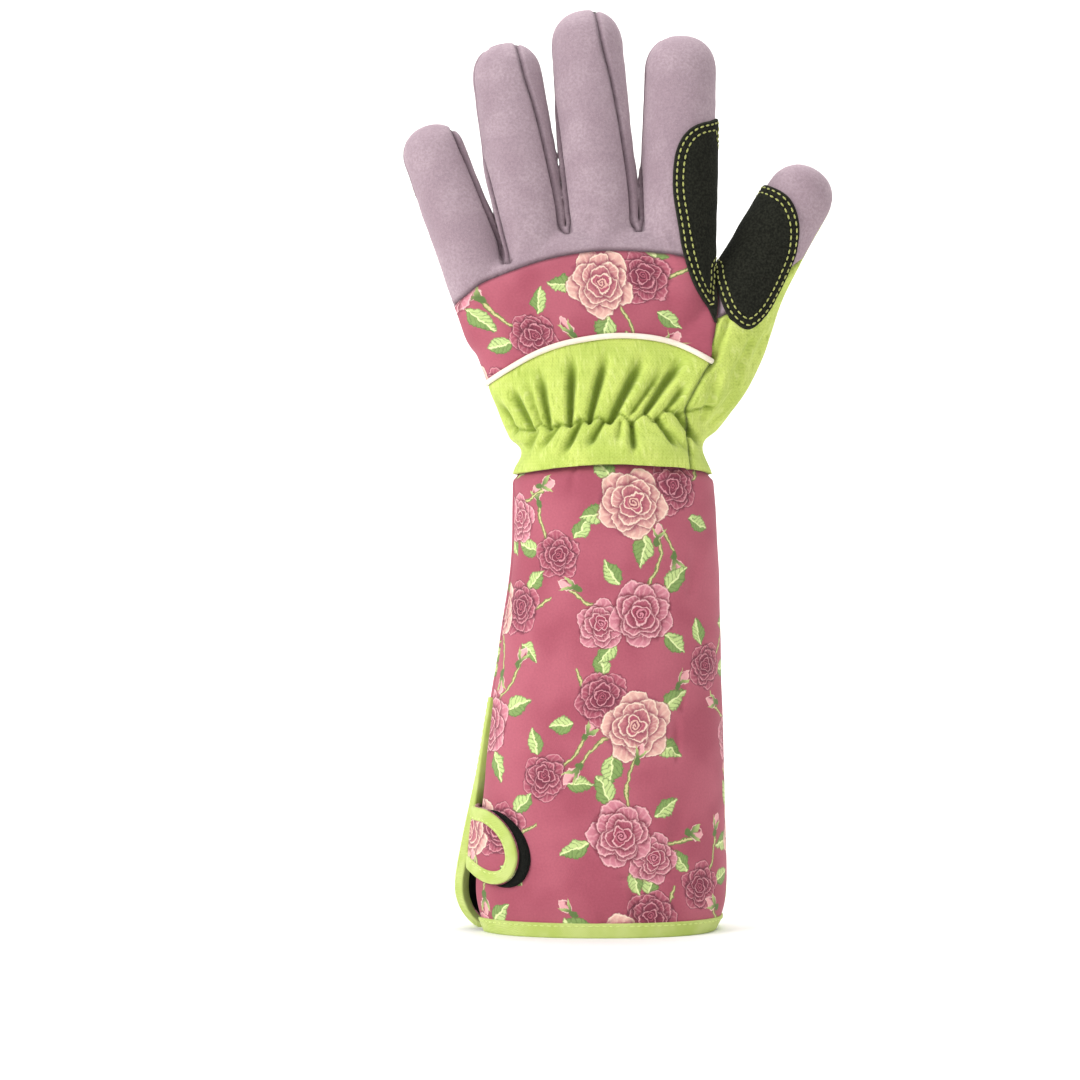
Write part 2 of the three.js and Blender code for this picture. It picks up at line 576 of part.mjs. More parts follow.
// The cuff
function cuffPoint(c, s, down, grow) {
  const flare = columnAt(CUFF_ROWS, 'down', down, 'flare');
  const deep = columnAt(CUFF_ROWS, 'down', down, 'deep');
  const angle = THREE.MathUtils.radToDeg(Math.atan2(s, c));
  const dents = CUFF_CREASES.map((crease) => {
    const share = (down - crease.top) / (crease.foot - crease.top);
    const along = Math.sin(Math.PI * Math.min(1, Math.max(0, share)));
    return crease.deep * CUFF_WALL * along * Math.exp(-(((angle - crease.at) / crease.wide) ** 2));
  });
  const inward = grow - dents.reduce((a, b) => a + b, 0);
  const across = columnAt(CUFF_ROWS, 'down', down, 'across') * HEM_WIDTH;
  const open = smooth(1 - SLIT_LENGTH / CUFF_LENGTH, 1, down);
  const rear = c < 0 ? smooth(-0.1, 0.02, s) * (1 - smooth(0.3, 0.7, s)) : 0;
  const halfWidth = mix(WRIST_WIDTH, HEM_WIDTH, flare) / 2 + inward;
  const halfDepth = mix(WRIST_DEPTH, HEM_DEPTH, deep) / 2 + inward;
  const side = signedPower(c, 2 / CUFF_SQUARENESS);
  const drawn = columnAt(CUFF_ROWS, 'down', down, c < 0 ? 'littleIn' : 'thumbIn') * HEM_WIDTH * side ** 3;
  const held = c < 0 ? 1 - 0.6 * smooth(0.05, 0.34, -s) : 1;
  return [
    across + halfWidth * side - drawn * held - SLIT_FLARE * open * rear,
    halfDepth * signedPower(s, 2 / CUFF_SQUARENESS),
    OVERRUN - WRIST_DROP - down * (CUFF_LENGTH + 2 * OVERRUN),
  ];
}

function cuffForm(grow) {
  const last = CUFF_ROWS.length - 1;
  return solid(loft(28, last, (c, s, share) => {
    const row = CUFF_ROWS[Math.round((1 - share) * last)];
    return cuffPoint(c, s, row.down, grow);
  }));
}

// A wall of the cuff from a distance down its top to a height above its hem.
function cuffWall(outside, inside, top, rise) {
  const wall = cuffForm(outside).subtract(cuffForm(-inside));
  return wall.intersect(below(-WRIST_DROP - top)).subtract(below(rise - WRIST_DROP - CUFF_LENGTH));
}

// The slit in the little finger's side: a wedge that the front edge and the bound rear edge leave open.
const SLIT_TOP = { front: -0.55, rear: -0.45 };
const SLIT_FOOT = { front: -1.08, rear: 0 };
function slitWedge(rearShift, rise) {
  const top = SLIT_LENGTH - CUFF_LENGTH - WRIST_DROP;
  const foot = -CUFF_LENGTH - WRIST_DROP - OVERRUN;
  return sidePrism(anticlockwise([
    new THREE.Vector2(SLIT_TOP.front * SLIT_GAPE, top + rise),
    new THREE.Vector2(SLIT_FOOT.front * SLIT_GAPE, foot),
    new THREE.Vector2(SLIT_FOOT.rear * SLIT_GAPE + rearShift, foot),
    new THREE.Vector2(SLIT_TOP.rear * SLIT_GAPE + rearShift, top + rise),
  ]), -FAR, 0);
}

const slit = slitWedge(0, 0);
const aboveBinding = BINDING_WIDTH + GAP;
const boundWall = (rise) => cuffWall(BINDING_RISE, CUFF_WALL + BINDING_RISE, CUFF_LENGTH - SLIT_LENGTH, rise);
const cuff = cuffWall(0, CUFF_WALL, half, aboveBinding).subtract(slitWedge(SLIT_BINDING + GAP, GAP));
const slitBinding = boundWall(aboveBinding).intersect(slitWedge(SLIT_BINDING, 0));
add('gauntlet_cuff', cuff, print);
const hemZone = below(BINDING_WIDTH - WRIST_DROP - CUFF_LENGTH);
add('hem_binding', boundWall(0).intersect(hemZone).subtract(slit), lime);
add('slit_binding', slitBinding.subtract(slit), lime);

// The tab is cut in one with the slit's rear edge, and closes over the pad on the front edge.
function tabOutline(inset, shift = { across: 0, down: 0 }) {
  const place = new THREE.Vector2(TAB_PLACE.across * HEM_WIDTH, -WRIST_DROP - TAB_PLACE.down * CUFF_LENGTH);
  const centre = place.clone().add(new THREE.Vector2(0, -TAB_WIDTH / 2));
  const points = TAB_OUTLINE.map(([across, down]) => new THREE.Vector2(
    place.x + (across + shift.across) * TAB_LENGTH, place.y - (down + shift.down) * TAB_WIDTH,
  ));
  return anticlockwise(closedCurve(points).map((p) => {
    const away = p.clone().sub(centre);
    return away.multiplyScalar(Math.max(0, 1 - inset / away.length())).add(centre);
  }));
}

const padTop = GAP + PATCH_WALL;
const tabTop = padTop + GAP + TAB_WALL;
const tabRoot = sidePrism(anticlockwise([
  new THREE.Vector2(0, -FAR), new THREE.Vector2(SLIT_BINDING, -FAR),
  new THREE.Vector2(SLIT_BINDING, FAR), new THREE.Vector2(0, FAR),
]), -FAR, 0);
function tabWall(top, outline) {
  const over = cuffForm(top).subtract(cuffForm(padTop + GAP));
  const root = cuffForm(top).subtract(cuffForm(BINDING_RISE + GAP)).intersect(tabRoot);
  return over.add(root).intersect(prism(outline, -FAR, SLIT_BINDING));
}

const padRegion = prism(tabOutline(0, LOOP_PAD_SHIFT), -FAR, SLIT_FOOT.front * SLIT_GAPE - GAP);
const tabEdge = tabWall(tabTop + BINDING_RISE, tabOutline(0)).subtract(prism(tabOutline(TAB_BINDING)));
add('loop_pad', cuffForm(padTop).subtract(cuffForm(GAP)).intersect(padRegion), black);
add('closure_tab', tabWall(tabTop, tabOutline(TAB_BINDING + GAP)), print);
add('tab_binding', tabEdge, lime);

export default gauntlet;
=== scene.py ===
"""Dresses the rose pruning gauntlet: suede hand, printed back, gathered knit wrist, long printed cuff."""
import math

import bmesh
import bpy
import numpy as np
from mathutils import Matrix, Vector
from mathutils.kdtree import KDTree


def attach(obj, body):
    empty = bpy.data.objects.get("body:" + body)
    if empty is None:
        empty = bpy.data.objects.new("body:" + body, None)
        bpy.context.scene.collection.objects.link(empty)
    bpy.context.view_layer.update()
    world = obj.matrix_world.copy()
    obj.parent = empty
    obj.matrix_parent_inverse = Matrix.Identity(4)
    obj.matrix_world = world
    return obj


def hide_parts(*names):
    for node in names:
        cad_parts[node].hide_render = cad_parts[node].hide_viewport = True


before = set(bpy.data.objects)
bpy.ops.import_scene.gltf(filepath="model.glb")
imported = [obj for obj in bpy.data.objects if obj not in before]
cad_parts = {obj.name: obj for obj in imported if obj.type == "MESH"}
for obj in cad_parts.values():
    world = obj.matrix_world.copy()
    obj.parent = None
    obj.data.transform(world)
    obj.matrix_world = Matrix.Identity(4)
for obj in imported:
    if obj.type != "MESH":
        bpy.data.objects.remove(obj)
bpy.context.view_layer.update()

# The sizes of the solids, in millimetres. +Z runs to the fingertips, +X to the thumb, -Y out of the back.
PALM_LENGTH = 93
PALM_WIDTH = 108
PALM_DEPTH = 36
WRIST_WIDTH = 84.6
WRIST_DEPTH = 58
WRIST_DROP = 13.6
FINGER_LENGTH = 114.6
FINGER_RADIUS = 15.1
FINGER_CURL = 8
FINGER_DEPTH_SHARE = 0.9
CURL_START = 0.3
THUMB_LENGTH = 96
THUMB_RADIUS = 14
THUMB_REACH = 10
CUFF_LENGTH = 193
HEM_WIDTH = 109
HEM_DEPTH = 76
SUEDE_WALL = 1.6
CUFF_WALL = 3
PATCH_WALL = 1.2
PIPING_WIDTH = 2.4
BINDING_WIDTH = 5.5
SLIT_BINDING = 4.5
SLIT_LENGTH = 95
SLIT_GAPE = 12
SLIT_FLARE = 5
TAB_LENGTH = 24
TAB_WIDTH = 34
TAB_WALL = 1.8
TAB_BINDING = 5
GAP = 0.3
FAR = 4 * CUFF_LENGTH

# How far the wrist's rim laps over the cuff, and the arch of its lower edge on the back: the places across
# and the heights there
BAND_LAP = 0.9
BAND_ARCH = ((-60, -44, -38, -26, -14, -4, 6, 16, 28, 40, 46, 60),
             (-14.5, -14.5, -14.2, -12.9, -11.8, -11.1, -11.0, -11.7, -12.1, -13.2, -14.2, -14.5))

# How the cloth is worked: the voxels of the hand's form and the rounds that even it out, the fullness of the
# fingers' bases, the depth and width of the seams, how much wider the band was cut, and the stitches
VOXEL = 1.0
CALM_ROUNDS = 7
BASE_FULLNESS = 1.05
SEAM_DEPTH = 1.25
SEAM_WIDTH = 2.1
GATHER = 1.3
STITCH_PITCH = 2.9
STITCH_LENGTH = 2.3
STITCH_WIDTH = 0.85
STITCH_ROWS = (1.7, 4.2)
BINDING_STITCH = {"rise": 0.0, "width": 0.6}

HAND_ROWS = {
    "up": (-1, 0, 0.13, 0.26, 0.39, 0.62, 0.8, 0.93, 0.985),
    "wide": (0, -0.08, 0.21, 0.45, 0.66, 1, 1.06, 0.9, 0.5),
    "deep": (0, 0.24, 0.58, 0.8, 0.93, 1.02, 1.12, 1.42, 1.95),
    "across": (0.018, -0.002, -0.017, -0.034, -0.052, -0.09, -0.095, -0.088, -0.08),
}
LITTLE_SIDE_DROP = 0.17
BODY_SQUARENESS = 2.35
FINGERS = (
    {"name": "little", "foot": (-0.438, 0.527), "reach": 0.676, "lean": 20,
     "tip": 0.89, "base": 0.92, "cap": 0.26, "seam": 0.7},
    {"name": "ring", "foot": (-0.259, 0.573), "reach": 0.9, "lean": 8.3,
     "tip": 0.98, "base": 1.0, "cap": 0.31, "seam": 0.3},
    {"name": "middle", "foot": (0.004, 0.591), "reach": 0.999, "lean": 4.65,
     "tip": 1, "base": 1.03, "cap": 0.36, "seam": 0.2},
    {"name": "index", "foot": (0.254, 0.591), "reach": 0.903, "lean": -2.05,
     "tip": 1, "base": 1.03, "cap": 0.32, "seam": 0},
)
THUMB_ROWS = {
    "along": (0, 0.2, 0.36, 0.57, 0.8, 1),
    "round": (1.79, 1.76, 1.46, 1.11, 1.05, 1.03),
    "aside": (0, 0.06, 0.2, 0.18, 0.08, 0.03),
}
THUMB_FOOT = {"place": (0.273, 0.247), "lean": -32.7, "depth_share": 0.82, "forward": 0.3}
CUFF_ROWS = {
    "down": (0, 0.06, 0.19, 0.33, 0.49, 0.6, 0.71, 0.81, 0.9, 1),
    "flare": (0, 0.04, 0.12, 0.31, 0.5, 0.66, 0.8, 0.92, 1, 0.98),
    "deep": (0, 0.12, 0.28, 0.47, 0.66, 0.76, 0.86, 0.93, 0.98, 1),
    "across": (0.018, 0.021, 0.025, 0.013, -0.003, -0.015, -0.024, -0.031, -0.037, -0.037),
}
# Near the hem both sides draw in, by shares of HEM_WIDTH
HEM_CORNERS = {
    "down": (0, 0.87, 0.9, 0.94, 0.97, 0.985, 1),
    "thumb": (0, 0, 0.001, 0.006, 0.019, 0.03, 0.046),
    "little": (0, 0, 0.002, 0.014, 0.041, 0.064, 0.096),
}
CUFF_SQUARENESS = 2.15
SLIT_TOP = (-0.55, -0.45)
SLIT_FOOT = (-1.08, 0)

# Outlines on the hand, as shares of PALM_WIDTH across and PALM_LENGTH up
YOKE_EDGE = ((-0.8, 0.5), (-0.596, 0.626), (-0.483, 0.714), (-0.357, 0.772), (-0.231, 0.816),
             (-0.081, 0.845), (0.044, 0.853), (0.169, 0.845), (0.289, 0.83), (0.42, 0.79))
PIPING_EDGE = ((-0.8, 0.02), (-0.477, 0.255), (-0.395, 0.313), (-0.295, 0.378), (-0.194, 0.423),
               (-0.094, 0.448), (0.006, 0.463), (0.106, 0.463), (0.207, 0.448), (0.295, 0.415), (0.41, 0.345))
CROTCH_EDGE = ((0.7, 1.4), (0.44, 0.84), (0.414, 0.758), (0.43, 0.66), (0.425, 0.56))
BAND_EDGE = ((0.413, 0.457), (0.406, 0.357), (0.362, 0.274), (0.323, 0.192), (0.3, 0.12), (0.31, 0),
             (0.33, -0.2))
THUMB_SEAM = ((0.4, 0.54), (0.555, 0.624), (0.704, 0.753), (0.746, 0.801), (0.95, 0.98))
PALM_SEAM = ((0.88, 1.08), (0.824, 0.975), (0.752, 0.83), (0.618, 0.638), (0.518, 0.389),
             (0.348, 0.182), (0.16, -0.09), (0.11, -0.2))
INDEX_PATCH_BACK = ((0.52, 1.47), (0.395, 1.45), (0.31, 1.4), (0.262, 1.3), (0.25, 1.14), (0.268, 0.98),
                    (0.292, 0.83), (0.33, 0.7), (0.385, 0.6), (0.44, 0.535), (0.6, 0.8))
INDEX_PATCH_PALM = ((0.52, 1.4), (0.38, 1.33), (0.325, 1.2), (0.31, 1.05), (0.325, 0.9), (0.35, 0.77),
                    (0.385, 0.69), (0.6, 0.8))
THUMB_PATCH_BACK = ((0.42, 0.79), (0.49, 1.02), (0.58, 1.19), (0.64, 1.165), (0.715, 1.1), (0.75, 0.99),
                    (0.74, 0.86), (0.69, 0.72), (0.62, 0.57), (0.555, 0.5), (0.5, 0.52), (0.448, 0.6))
THUMB_PATCH_PALM = ((0.4, 0.72), (0.49, 1.12), (0.655, 1.14), (0.63, 1.0), (0.575, 0.88), (0.505, 0.76),
                    (0.455, 0.69))
PALM_PATCH = ((0.3, 0.7), (0.276, 0.76), (0.154, 0.803), (0.1, 0.88), (0.05, 0.95), (0, 0.965),
              (-0.045, 0.92), (-0.07, 0.83), (-0.107, 0.81), (-0.15, 0.86), (-0.185, 0.945), (-0.233, 0.965),
              (-0.275, 0.92), (-0.3, 0.83), (-0.34, 0.79), (-0.385, 0.8), (-0.43, 0.84), (-0.48, 0.83),
              (-0.51, 0.75), (-0.49, 0.5), (-0.43, 0.28), (-0.36, 0.08), (-0.3, 0.0), (-0.24, 0.0),
              (-0.21, 0.06), (-0.2, 0.28), (-0.144, 0.375), (-0.072, 0.43), (0.022, 0.5), (0.107, 0.555),
              (0.219, 0.596), (0.295, 0.64))
PALM_SLOT = ((-0.21, 0.64), (-0.235, 0.675), (-0.3, 0.685), (-0.7, 0.69), (-0.7, 0.59), (-0.3, 0.6),
             (-0.235, 0.61))
HEEL_PATCH = ((0.177, 0.513), (0.125, 0.511), (0.05, 0.478), (-0.019, 0.417), (-0.117, 0.252),
              (-0.142, 0.127), (-0.119, 0.044), (-0.06, 0.005), (0.005, 0.01), (0.074, 0.072),
              (0.164, 0.196), (0.208, 0.362), (0.207, 0.472))
TAB_OUTLINE = ((-0.6, 0.02), (0, 0), (0.19, 0.03), (0.42, 0.15), (0.6, 0.33), (0.69, 0.53), (0.69, 0.71),
               (0.585, 0.89), (0.41, 0.985), (0.19, 1), (-0.02, 0.94), (-0.28, 0.81), (-0.6, 0.78))
TAB_PLACE = (-0.503, 0.734)
# The loop pad is the tab's outline shifted right and down, so that its black shows beside the tab as the
# tab's painted shadow as well as loop pile
PAD_SHADOW_SHIFT = (0.22, 0.03)

# Fourchettes: how far their seams lie from the fingers' middle lines, as shares of FINGER_RADIUS
FOURCHETTE_SHARES = (0, 0.35, 0.62, 0.85, 1, 1.3)
BACK_SEAM_FOOT = 0.5
BACK_SEAM_LOW = 0.84
BACK_SEAM_HOLD = (1, 0.88, 0.6, 0.31, 0)
PALM_SEAM_IN = (0.5, 0.84, 0.74, 0.66, 0.55, 0.4)
WEB_PLACE = (0.3, 1.1)
FOURCHETTE_DIP = 0.035
FOURCHETTE_LAP = 0.08

# Folds in the cloth, each from one point across and up to another, with its depth and half width. The
# first point is where a fold runs out, the second where it is deepest.
WRIST_FOLDS = (
    ((-41.5, 24.0), (-32.7, 3.6), 2.4, 2.0), ((-29.0, 30.0), (-25.3, 4.5), 2.6, 2.0),
    ((-15.0, 36.0), (-16.6, 6.2), 3.2, 2.1), ((-0.5, 37.0), (-8.5, 7.4), 3.2, 2.1),
    ((15.5, 36.0), (0.4, 7.6), 3.2, 2.4), ((32.0, 35.0), (15.7, 11.9), 3.0, 2.3),
    ((24.0, 31.0), (8.6, 9.6), 1.8, 1.6), ((33.0, 24.0), (24.4, 12.4), 2.0, 1.8),
    ((-47.0, 18.0), (-39.8, 3.0), 2.0, 1.8), ((-35.0, 27.0), (-29.2, 7.0), 1.3, 1.5),
    ((-30.8, -6.7), (-21.3, 5.7), 1.7, 1.6), ((-20.7, -9.2), (-12.2, 7.0), 2.3, 1.8),
    ((-9.7, -5.0), (-2.3, 7.8), 2.1, 1.7), ((10.5, -7.5), (9.6, 7.0), 2.8, 1.8),
    ((30.5, -6.0), (20.3, 8.8), 2.4, 1.9), ((41.5, -5.2), (29.3, 10.6), 2.4, 2.0),
    ((3.2, -3.0), (4.9, 7.4), 1.3, 1.4), ((-40.7, -6.0), (-42.5, 4.0), 1.6, 1.6),
    ((-35.0, -7.0), (-30.5, 3.2), 1.5, 1.6), ((36.0, -8.0), (26.0, 3.0), 1.2, 1.6),
)
ELASTIC_LINE = ((-48, 2.5), (-40, 4.2), (-32.7, 3.4), (-29, 6.4), (-25.3, 4.3), (-21.3, 6.4), (-16.6, 5.6),
                (-12.5, 8.3), (-8.5, 7.6), (-4.6, 9.2), (0.4, 7.2), (4.7, 10.8), (9.6, 6.8), (14.8, 11),
                (19, 7.2), (23.4, 12.2), (29.3, 10.6), (40, 13), (50, 14))
BACK_FOLDS = (
    ((40.5, 22.0), (50.5, 50.0), 1.5, 2.0), ((47.5, 15.0), (60.5, 41.0), 1.3, 2.4),
    ((58.0, 25.0), (67.5, 44.0), 0.9, 2.4), ((47.5, 33.0), (40.0, 9.0), 1.3, 2.2),
    ((55.0, 26.0), (44.0, 6.0), 1.1, 2.4),
    ((34.0, 74.0), (26.0, 86.0), 0.5, 3.0), ((-12.0, 84.0), (-6.0, 92.0), 0.5, 3.5),
)
PALM_FOLDS = (
    ((55.1, 43.0), (46.7, 63.7), 1.2, 2.4), ((43.5, 46.9), (39.0, 57.9), 1.2, 2.0),
    ((28.0, 45.8), (35.9, 58.7), 1.2, 2.2), ((18.0, 6.0), (22.0, -12.0), 1.2, 3.0),
    ((-8.0, 4.0), (-6.0, -12.0), 1.0, 3.0), ((-30.0, 3.0), (-28.0, -12.0), 1.0, 3.0),
    ((36.0, 22.0), (12.0, -6.0), 1.0, 3.5),
)
CUFF_FOLDS = (
    ((27.2, -111.8), (28.1, -133.0), 1.0, 1.7), ((32.7, -92.2), (29.8, -112.6), 0.9, 1.8),
    ((34.4, -181.9), (5.1, -181.9), 0.8, 1.5), ((9.4, -184.0), (11.5, -204.0), 1.3, 1.5),
    ((9.6, -23.0), (8.9, -12.0), 1.2, 1.3), ((-1.3, -30.0), (-1.5, -12.0), 0.8, 1.4),
    ((-16.0, -24.0), (-15.0, -12.0), 0.6, 1.6), ((22.0, -26.0), (20.0, -12.0), 0.7, 1.5),
    ((38.0, -40.0), (34.0, -64.0), 0.7, 3.0), ((-40.0, -60.0), (-34.0, -92.0), 0.6, 4.0),
    ((34.0, -150.0), (24.0, -172.0), 0.6, 3.5), ((-2.6, -196.0), (-2.0, -206.0), 0.7, 1.3),
)
CUFF_PALM_FOLDS = (
    ((-20.0, -30.0), (-24.0, -70.0), 1.2, 4.0), ((14.0, -40.0), (20.0, -90.0), 1.3, 4.5),
    ((30.0, -120.0), (24.0, -170.0), 1.1, 5.0), ((-30.0, -130.0), (-22.0, -180.0), 1.0, 4.5),
    ((4.0, -22.0), (5.0, -12.0), 1.0, 1.8), ((-12.0, -28.0), (-11.0, -12.0), 0.8, 2.0),
)


# Curves and regions
def mix(a, b, t):
    return a + (b - a) * t


def smooth(low, high, value):
    t = np.clip((value - low) / (high - low), 0, 1)
    return t * t * (3 - 2 * t)


def signed_power(value, power):
    return np.sign(value) * np.abs(value) ** power


def along(rows, key, name, at):
    """A column's value where the key column reaches at, on a smooth curve through the rows."""
    x, y = np.array(rows[key], float), np.array(rows[name], float)
    slope = np.gradient(y, x)
    at = np.clip(at, x[0], x[-1])
    i = np.clip(np.searchsorted(x, at, side="right") - 1, 0, len(x) - 2)
    step = x[i + 1] - x[i]
    t = (at - x[i]) / step
    return ((1 + 2 * t) * (1 - t) ** 2 * y[i] + t * (1 - t) ** 2 * step * slope[i]
            + t * t * (3 - 2 * t) * y[i + 1] + t * t * (t - 1) * step * slope[i + 1])


def curve(points, closed=False, steps=6):
    """A smooth curve through the points."""
    p = np.array(points, float)
    if closed:
        p = np.vstack([p[-1:], p, p[:2]])
    else:
        p = np.vstack([2 * p[:1] - p[1:2], p, 2 * p[-1:] - p[-2:-1]])
    made = []
    for a, b, c, d in zip(p, p[1:], p[2:], p[3:]):
        for t in np.arange(steps) / steps:
            made.append(b + (c - a) * t / 2 + (2 * a - 5 * b + 4 * c - d) * t * t / 2
                        + (3 * b - a - 3 * c + d) * t ** 3 / 2)
    if not closed:
        made.append(p[-2])
    return np.array(made)


def on_palm(points):
    return np.array(points, float) * (PALM_WIDTH, PALM_LENGTH)


def region(outline, first=0, second=2):
    """Says how far a point is from a closed outline on two of its axes: less than nothing is inside."""
    outline = np.array(outline, float)
    ends = list(zip(outline, np.roll(outline, -1, axis=0)))

    def distance(co):
        x, z = co[:, first], co[:, second]
        nearest = np.full(len(co), 1e12)
        inside = np.zeros(len(co), bool)
        for (x0, z0), (x1, z1) in ends:
            dx, dz = x1 - x0, z1 - z0
            share = np.clip(((x - x0) * dx + (z - z0) * dz) / max(dx * dx + dz * dz, 1e-9), 0, 1)
            nearest = np.minimum(nearest, (x - x0 - share * dx) ** 2 + (z - z0 - share * dz) ** 2)
            if z0 != z1:
                inside ^= ((z0 > z) != (z1 > z)) & (x < x0 + dx * (z - z0) / dz)
        return np.where(inside, -1, 1) * np.sqrt(nearest)

    return distance


def above(points):
    edge = curve(on_palm(points))
    return region(np.vstack([edge, [(FAR, edge[-1][1]), (FAR, FAR), (-FAR, FAR), (-FAR, edge[0][1])]]))


def thumbward(points):
    edge = curve(on_palm(points))
    return region(np.vstack([edge, [(FAR, edge[-1][1]), (FAR, edge[0][1])]]))


def within(points):
    return region(curve(on_palm(points), closed=True))


def both(*depths):
    return np.maximum.reduce(depths)


def either(*depths):
    return np.minimum.reduce(depths)


# The hand's form
def curl_at(share):
    return FINGER_CURL * (np.maximum(0, share - CURL_START) / (1 - CURL_START)) ** 2


def thumb_forward(share):
    return THUMB_REACH * mix(THUMB_FOOT["forward"], 1, share)


def axis_from(foot, lean, length):
    turn = math.radians(lean)
    up = np.array((-math.sin(turn), math.cos(turn)))
    return {"foot": on_palm([foot])[0], "up": up, "across": np.array((up[1], -up[0])), "length": length}


def finger_axis(finger):
    return axis_from(finger["foot"], finger["lean"], finger["reach"] * FINGER_LENGTH)


THUMB_AXIS = axis_from(THUMB_FOOT["place"], THUMB_FOOT["lean"], THUMB_LENGTH)


def beside(axis, share, side):
    return axis["foot"] + axis["up"] * share * axis["length"] + axis["across"] * side


def web_height(x):
    return PALM_LENGTH * HAND_ROWS["up"][-1] * (1 - LITTLE_SIDE_DROP * smooth(0.1, 0.5, -x / PALM_WIDTH))


def hand_ring(up, turns):
    half_width = mix(WRIST_WIDTH, PALM_WIDTH, along(HAND_ROWS, "up", "wide", up)) / 2
    half_depth = mix(WRIST_DEPTH, PALM_DEPTH, along(HAND_ROWS, "up", "deep", up)) / 2
    x = along(HAND_ROWS, "up", "across", up) * PALM_WIDTH
    x = x + half_width * signed_power(np.cos(turns), 2 / BODY_SQUARENESS)
    y = half_depth * signed_power(np.sin(turns), 2 / BODY_SQUARENESS)
    drop = 1 - LITTLE_SIDE_DROP * smooth(0.62, 1, up) * smooth(0.1, 0.5, -x / PALM_WIDTH)
    z = (up * (WRIST_DROP + 1) if up < 0 else up * PALM_LENGTH) * drop
    return np.column_stack([x, y, z])


# Meshes
def places(bm):
    return np.array([v.co[:] for v in bm.verts])


def middles(faces):
    return np.array([f.calc_center_median()[:] for f in faces])


def put_at(verts, spots):
    for vert, spot in zip(verts, spots):
        vert.co = spot


def move_out(bm, amounts):
    """Moves every vertex along its own normal."""
    bm.normal_update()
    for vert, amount in zip(list(bm.verts), amounts):
        vert.co += vert.normal * amount


def calm(bm, factor):
    bmesh.ops.smooth_vert(bm, verts=bm.verts, factor=factor,
                          use_axis_x=True, use_axis_y=True, use_axis_z=True)


def mesh_object(name, bm):
    mesh = bpy.data.meshes.new(name)
    bm.to_mesh(mesh)
    made = bpy.data.objects.new(name, mesh)
    bpy.context.scene.collection.objects.link(made)
    return made


def ring_edges(ring):
    inside = set(ring)
    return list(dict.fromkeys(e for v in ring for e in v.link_edges if e.other_vert(v) in inside))


def loft(bm, sections, closed=False):
    """Rings laid on the sections and bridged, one after another."""
    rings = []
    for section in sections:
        ring = bmesh.ops.create_circle(bm, segments=len(section), radius=1)["verts"]
        put_at(ring, section)
        rings.append((ring, ring_edges(ring)))
    pairs = list(zip(rings, rings[1:] + rings[:1] if closed else rings[1:]))
    for low, high in pairs:
        bmesh.ops.bridge_loops(bm, edges=low[1] + high[1])
    if not closed:
        bmesh.ops.holes_fill(bm, edges=rings[0][1] + rings[-1][1], sides=0)


def stall(bm, axis, radius_at, aside_at, forward_at, depth_share, between=(None, None)):
    """A finger or the thumb: rings along its axis, rounded at both ends, and kept short of its neighbours."""
    turns = np.linspace(0, 2 * math.pi, 40, endpoint=False)
    ends = [(math.sin(t) ** 0.92, math.cos(t) ** 0.92) for t in np.radians((15, 30, 45, 58, 70, 79, 86))]
    stations = [(0, -out, size) for out, size in reversed(ends)]
    stations += [(share, 0, 1) for share in np.linspace(0, 1, 26)]
    stations += [(1, out, size) for out, size in ends]
    sections = []
    for share, out, size in stations:
        radius = radius_at(share)
        reach = share + out * radius / axis["length"]
        side = np.cos(turns) * radius * size + aside_at(share)
        place = np.array([beside(axis, reach, s) for s in side])
        if between[0]:
            place[:, 0] = np.maximum(place[:, 0], between[0](place[:, 1]) + 1)
        if between[1]:
            place[:, 0] = np.minimum(place[:, 0], between[1](place[:, 1]) - 1)
        deep = np.sin(turns) * radius * size * depth_share + forward_at(reach)
        sections.append(np.column_stack([place[:, 0], deep, place[:, 1]]))
    loft(bm, sections)


def fold_depths(co, folds, faces):
    """How far the folds on one face of the glove draw each point in."""
    drawn = np.zeros(len(co))
    for start, stop, deep, wide in folds:
        start, way = np.array(start), np.array(stop) - np.array(start)
        offset = co[:, (0, 2)] - start
        share = np.clip(offset @ way / (way @ way), 0, 1)
        gone = np.linalg.norm(offset - share[:, None] * way, axis=1)
        narrow = wide * (1.3 - 0.55 * share)
        shape = np.exp(-(gone / narrow) ** 2) - 0.32 * np.exp(-((gone - 1.9 * narrow) / narrow) ** 2)
        drawn = np.maximum(drawn, deep * smooth(-0.1, 0.5, share) * shape)
        drawn = drawn + np.minimum(0, deep * share * shape)
    return drawn * faces


def softness(co, size, seed):
    """A slow, even unevenness, from -1 to 1."""
    turns = np.random.default_rng(seed).uniform(0, 6.28, (5, 4))
    total = np.zeros(len(co))
    for a, b, c, phase in turns:
        way = np.array([math.cos(a) * math.sin(b), math.sin(a) * math.sin(b), math.cos(b)])
        total += np.sin(co @ way * 6.28 / (size * (0.8 + 0.1 * c)) + phase)
    return total / 5


def band_edge(co):
    """The height of the band's lower edge."""
    low = -WRIST_DROP - BAND_LAP
    return low + (np.interp(co[:, 0], *BAND_ARCH) - low) * smooth(4, -12, co[:, 1])


def parting(first, second):
    """The web between two fingers, and the place across of the line midway between them at a height."""
    a, b = finger_axis(first), finger_axis(second)
    lean = a["up"] + b["up"]
    inner = WEB_PLACE[1] * FINGER_RADIUS
    web = (beside(a, WEB_PLACE[0], inner) + beside(b, WEB_PLACE[0], -inner)) / 2
    return web, lambda z: web[0] + (z - web[1]) * lean[0] / lean[1]


PARTINGS = [parting(a, b) for a, b in zip(FINGERS, FINGERS[1:])]


